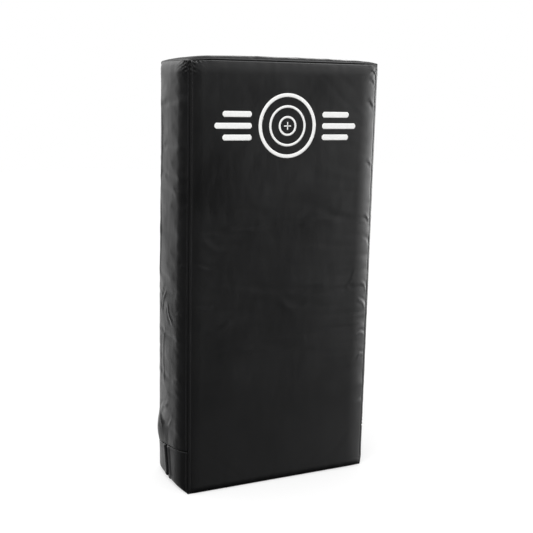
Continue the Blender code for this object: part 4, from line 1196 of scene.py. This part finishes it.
MARK_PLACE = (-0.002, 0.637)
RING_SIZES = ((0.0475, 0.0535), (0.0300, 0.0340), (0.0130, 0.0165))
CROSS_HALF_LENGTH, CROSS_HALF_WIDTH = 0.0065, 0.0009
BAR_START, BAR_HALF_HEIGHT, BAR_CORNER = 0.066, 0.0048, 0.0016
BARS = ((0.0190, 0.052), (0.0, 0.066), (-0.0190, 0.052))
INK_THICKNESS = 0.00016


def ink(build, u, v, closed=False):
    """A patch of ink that follows the front of the cover."""
    points, normals = front.surface(u + MARK_PLACE[0], v + MARK_PLACE[1])
    build.join(build.add(points + normals * INK_THICKNESS), closed)


def make_mark():
    build = Build()
    turns = np.linspace(0, 2 * math.pi, 181)[:-1]
    for inner, outer in RING_SIZES:
        radius = np.linspace(inner, outer, max(3, int((outer - inner) / 0.0015) + 1))[:, None]
        ink(build, radius * np.cos(turns), radius * np.sin(turns), closed=True)
    # The cross's upright bar stops at either side of the level one
    length, width = (np.linspace(-half, half, 9) for half in (CROSS_HALF_LENGTH, CROSS_HALF_WIDTH))
    for u, v in ((length, width), (width, length[:4]), (width, length[-4:])):
        ink(build, u[:, None], np.tile(v, (len(u), 1)))
    for side, (middle, length) in itertools.product((-1, 1), BARS):
        along = np.linspace(0.0, length, int(length / 0.0025))[:, None]
        near_end = np.clip(abs(along - length / 2) - length / 2 + BAR_CORNER, 0, None) / BAR_CORNER
        height = BAR_HALF_HEIGHT * np.sqrt(np.clip(1 - near_end**2, 0.15, 1))
        ink(build, side * (BAR_START + along), middle + np.linspace(-1, 1, 7) * height)
    build.finish("printed_mark", "pad", "vinyl", (0, -Y), INK_THICKNESS * 1.5, INK)


make_mark()


# Carried-over solids: their record slots give their looks

for subpart in frame["record"]["subparts"]:
    node = frame["nodes"][subpart["node"]]
    node.data.materials.clear()
    node.data.materials.append(LOOKS[subpart["material_slot"]])


# Floor, light and camera

FLOOR_REACH, FLOOR_SHADE, FLOOR_GLOW = 6.0, 0.49, 0.55
KEY_PLACE, KEY_TARGET, KEY_SIZE, KEY_POWER = (-1.0, -1.2, 2.6), (0.0, 0.0, 0.35), (2.0, 1.4), 32.0
CAMERA_PLACE = (-0.7029, -1.4678, 0.6981)
CAMERA_YAW, CAMERA_PITCH, CAMERA_ROLL = 0.4470, 0.1918, -0.0221
FOCAL_PIXELS, PHOTO_PIXELS, SENSOR = 915.3, 533, 36.0


def make_floor():
    data = bpy.data.meshes.new("floor")
    corners = [(x * FLOOR_REACH, y * FLOOR_REACH, 0) for x, y in ((-1, -1), (1, -1), (1, 1), (-1, 1))]
    data.from_pydata(corners, [], [(0, 1, 2, 3)])
    made, tree, shader = node_material("pale_floor", (FLOOR_SHADE,) * 3, 1.0)
    shader.inputs["Specular IOR Level"].default_value = 0.0
    path = add_node(tree, "ShaderNodeLightPath")
    seen = combine(tree, "MULTIPLY", path.outputs["Is Camera Ray"], FLOOR_GLOW)
    glow = add_node(tree, "ShaderNodeEmission", Strength=seen)
    both = add_node(tree, "ShaderNodeAddShader")
    tree.links.new(shader.outputs["BSDF"], both.inputs[0])
    tree.links.new(glow.outputs["Emission"], both.inputs[1])
    tree.links.new(both.outputs[0], tree.nodes["Material Output"].inputs["Surface"])
    data.materials.append(made)
    floor = add_object("floor", data)
    floor.visible_glossy = False
    floor.visible_transmission = False


def curve_of(tree, value, reach, points):
    """A value from -reach to reach, read from straight ramps between (place, brightness) pairs."""
    node = add_node(tree, "ShaderNodeValToRGB", Fac=spread(tree, value, 0.0, 1.0, -reach, reach))
    node.color_ramp.interpolation = "LINEAR"
    peak = max(brightness for place, brightness in points)
    elements = node.color_ramp.elements
    for i, (place, brightness) in enumerate(points):
        element = elements[i] if i < 2 else elements.new(1.0)
        element.position = (place + reach) / (2 * reach)
        element.color = (*(brightness / peak,) * 3, 1.0)
    return combine(tree, "MULTIPLY", node.outputs["Color"], float(peak))


# What a glossy surface sees round the studio, by compass angle in degrees from +Y towards +X
ROOM = ((-152, 0.02), (-135, 0.20), (-120, 0.20), (-100, 0.10), (-80, 0.03), (180, 0.02))
# Its walls and lights, each by compass angle and then by the sine of the elevation. The brightest counts.
WALLS = (
    # The wall that the strike face reflects
    (((105, 0.0), (125, 0.72), (142, 0.50), (150, 0.26), (153, 0.14), (156, 0.06), (160, 0.02), (180, 0.0)),
     ((-0.14, 1.0), (-0.03, 0.68))),
    # The walls behind and to the right
    (((-4, 0.0), (12, 0.40), (19, 0.50), (30, 1.35), (55, 1.1), (75, 0.9), (105, 0.7), (125, 0.55),
      (140, 0.0)),
     ((0.22, 1.0), (0.44, 0.25), (0.60, 0.12))),
    # The light low behind the pad, which the upper end reflects
    (((17, 0.0), (21, 0.6), (26, 2.0), (31, 3.0), (40, 3.0), (54, 0.0)),
     ((-0.04, 0.0), (0.06, 1.0), (0.27, 1.0), (0.37, 0.25), (0.44, 0.0))),
    # The tall light that the left side reflects
    (((-24, 0.0), (-19, 1.0), (-2, 1.0), (12, 0.0)),
     ((-1.0, 0.6), (-0.40, 0.65), (-0.36, 1.40), (-0.30, 1.35), (-0.20, 1.08), (-0.03, 1.08), (0.06, 1.7))),
    # Overhead
    (((-180, 0.8), (-120, 1.0), (-10, 1.0), (12, 0.3), (45, 0.3), (80, 1.0), (120, 1.5), (150, 1.25),
      (158, 0.8), (180, 0.7)),
     ((0.04, 0.0), (0.22, 0.50), (0.46, 0.85), (0.62, 0.45), (0.76, 0.08), (1.0, 0.06))),
    # A dim low wall
    (((-180, 0.34), (-160, 0.15), (-140, 0.0), (-60, 0.0), (-26, 0.42), (-10, 0.42), (0, 0.0), (140, 0.0),
      (152, 0.30), (180, 0.34)),
     ((-0.36, 1.0), (-0.30, 0.0))),
)
# The tall soft light on the right, which stands above the floor and adds to the walls
RIGHT_LIGHT = (
    ((48, 0.0), (66, 1.0), (112, 1.0), (127, 0.50), (136, 0.08), (142, 0.0)),
    ((-0.26, 0.0), (-0.215, 1.1), (-0.165, 5.0), (-0.12, 7.2), (-0.03, 6.8), (0.08, 3.4)),
)
# How much of the studio is left towards the floor, which the pad shades
NEAR_FLOOR = ((-0.82, 0.0), (-0.62, 0.20), (-0.46, 1.0))
ROOM_LEVEL = 0.95


def make_world():
    """White to the camera, even to matt surfaces, and shaped like a studio to glossy ones."""
    world = bpy.data.worlds.new("studio")
    bpy.context.scene.world = world
    world.use_nodes = True
    tree = world.node_tree
    path = add_node(tree, "ShaderNodeLightPath").outputs
    x, y, z = add_node(tree, "ShaderNodeSeparateXYZ",
                       Vector=add_node(tree, "ShaderNodeTexCoord").outputs["Generated"]).outputs
    compass = combine(tree, "DEGREES", combine(tree, "ARCTAN2", x, y))

    def lit(around, upwards):
        return combine(tree, "MULTIPLY", curve_of(tree, compass, 180, around), curve_of(tree, z, 1, upwards))

    studio = curve_of(tree, compass, 180, ROOM)
    for wall in WALLS:
        studio = combine(tree, "MAXIMUM", studio, lit(*wall))
    studio = combine(tree, "ADD", studio, lit(*RIGHT_LIGHT))
    studio = combine(tree, "MULTIPLY", studio, curve_of(tree, z, 1, NEAR_FLOOR))
    matt = add_node(tree, "ShaderNodeMix", Factor=path["Is Glossy Ray"], A=ROOM_LEVEL, B=studio)
    seen = combine(tree, "MAXIMUM", path["Is Camera Ray"], path["Is Transmission Ray"])
    shown = add_node(tree, "ShaderNodeMix", Factor=seen, A=matt.outputs["Result"], B=1.0)
    background = tree.nodes["Background"]
    background.inputs["Color"].default_value = (1.0, 1.0, 1.0, 1.0)
    tree.links.new(shown.outputs["Result"], background.inputs["Strength"])


def make_key_light():
    """A soft lamp from the upper left, which glossy surfaces don't see."""
    light = bpy.data.lights.new("soft_key", "AREA")
    light.shape = "RECTANGLE"
    light.size, light.size_y = KEY_SIZE
    light.energy = KEY_POWER
    lamp = add_object("soft_key", light)
    lamp.location = KEY_PLACE
    lamp.rotation_euler = (Vector(KEY_TARGET) - Vector(KEY_PLACE)).to_track_quat("-Z", "Y").to_euler()
    lamp.visible_glossy = False


def make_camera():
    camera = bpy.data.cameras.new("photo_view")
    camera.sensor_width = SENSOR
    camera.lens = FOCAL_PIXELS / PHOTO_PIXELS * SENSOR
    holder = add_object("photo_view", camera)
    yaw, pitch, roll = CAMERA_YAW, CAMERA_PITCH, CAMERA_ROLL
    forward = Vector((math.sin(yaw) * math.cos(pitch), math.cos(yaw) * math.cos(pitch), -math.sin(pitch)))
    level = Vector((math.cos(yaw), -math.sin(yaw), 0.0))
    down = forward.cross(level)
    rightward = level * math.cos(roll) + down * math.sin(roll)
    downward = down * math.cos(roll) - level * math.sin(roll)
    axes = Matrix((rightward, -downward, -forward)).transposed()
    holder.matrix_world = Matrix.Translation(CAMERA_PLACE) @ axes.to_4x4()
    bpy.context.scene.camera = holder


make_floor()
make_world()
make_key_light()
make_camera()
bpy.context.scene.view_settings.view_transform = "Standard"

bpy.context.view_layer.update()
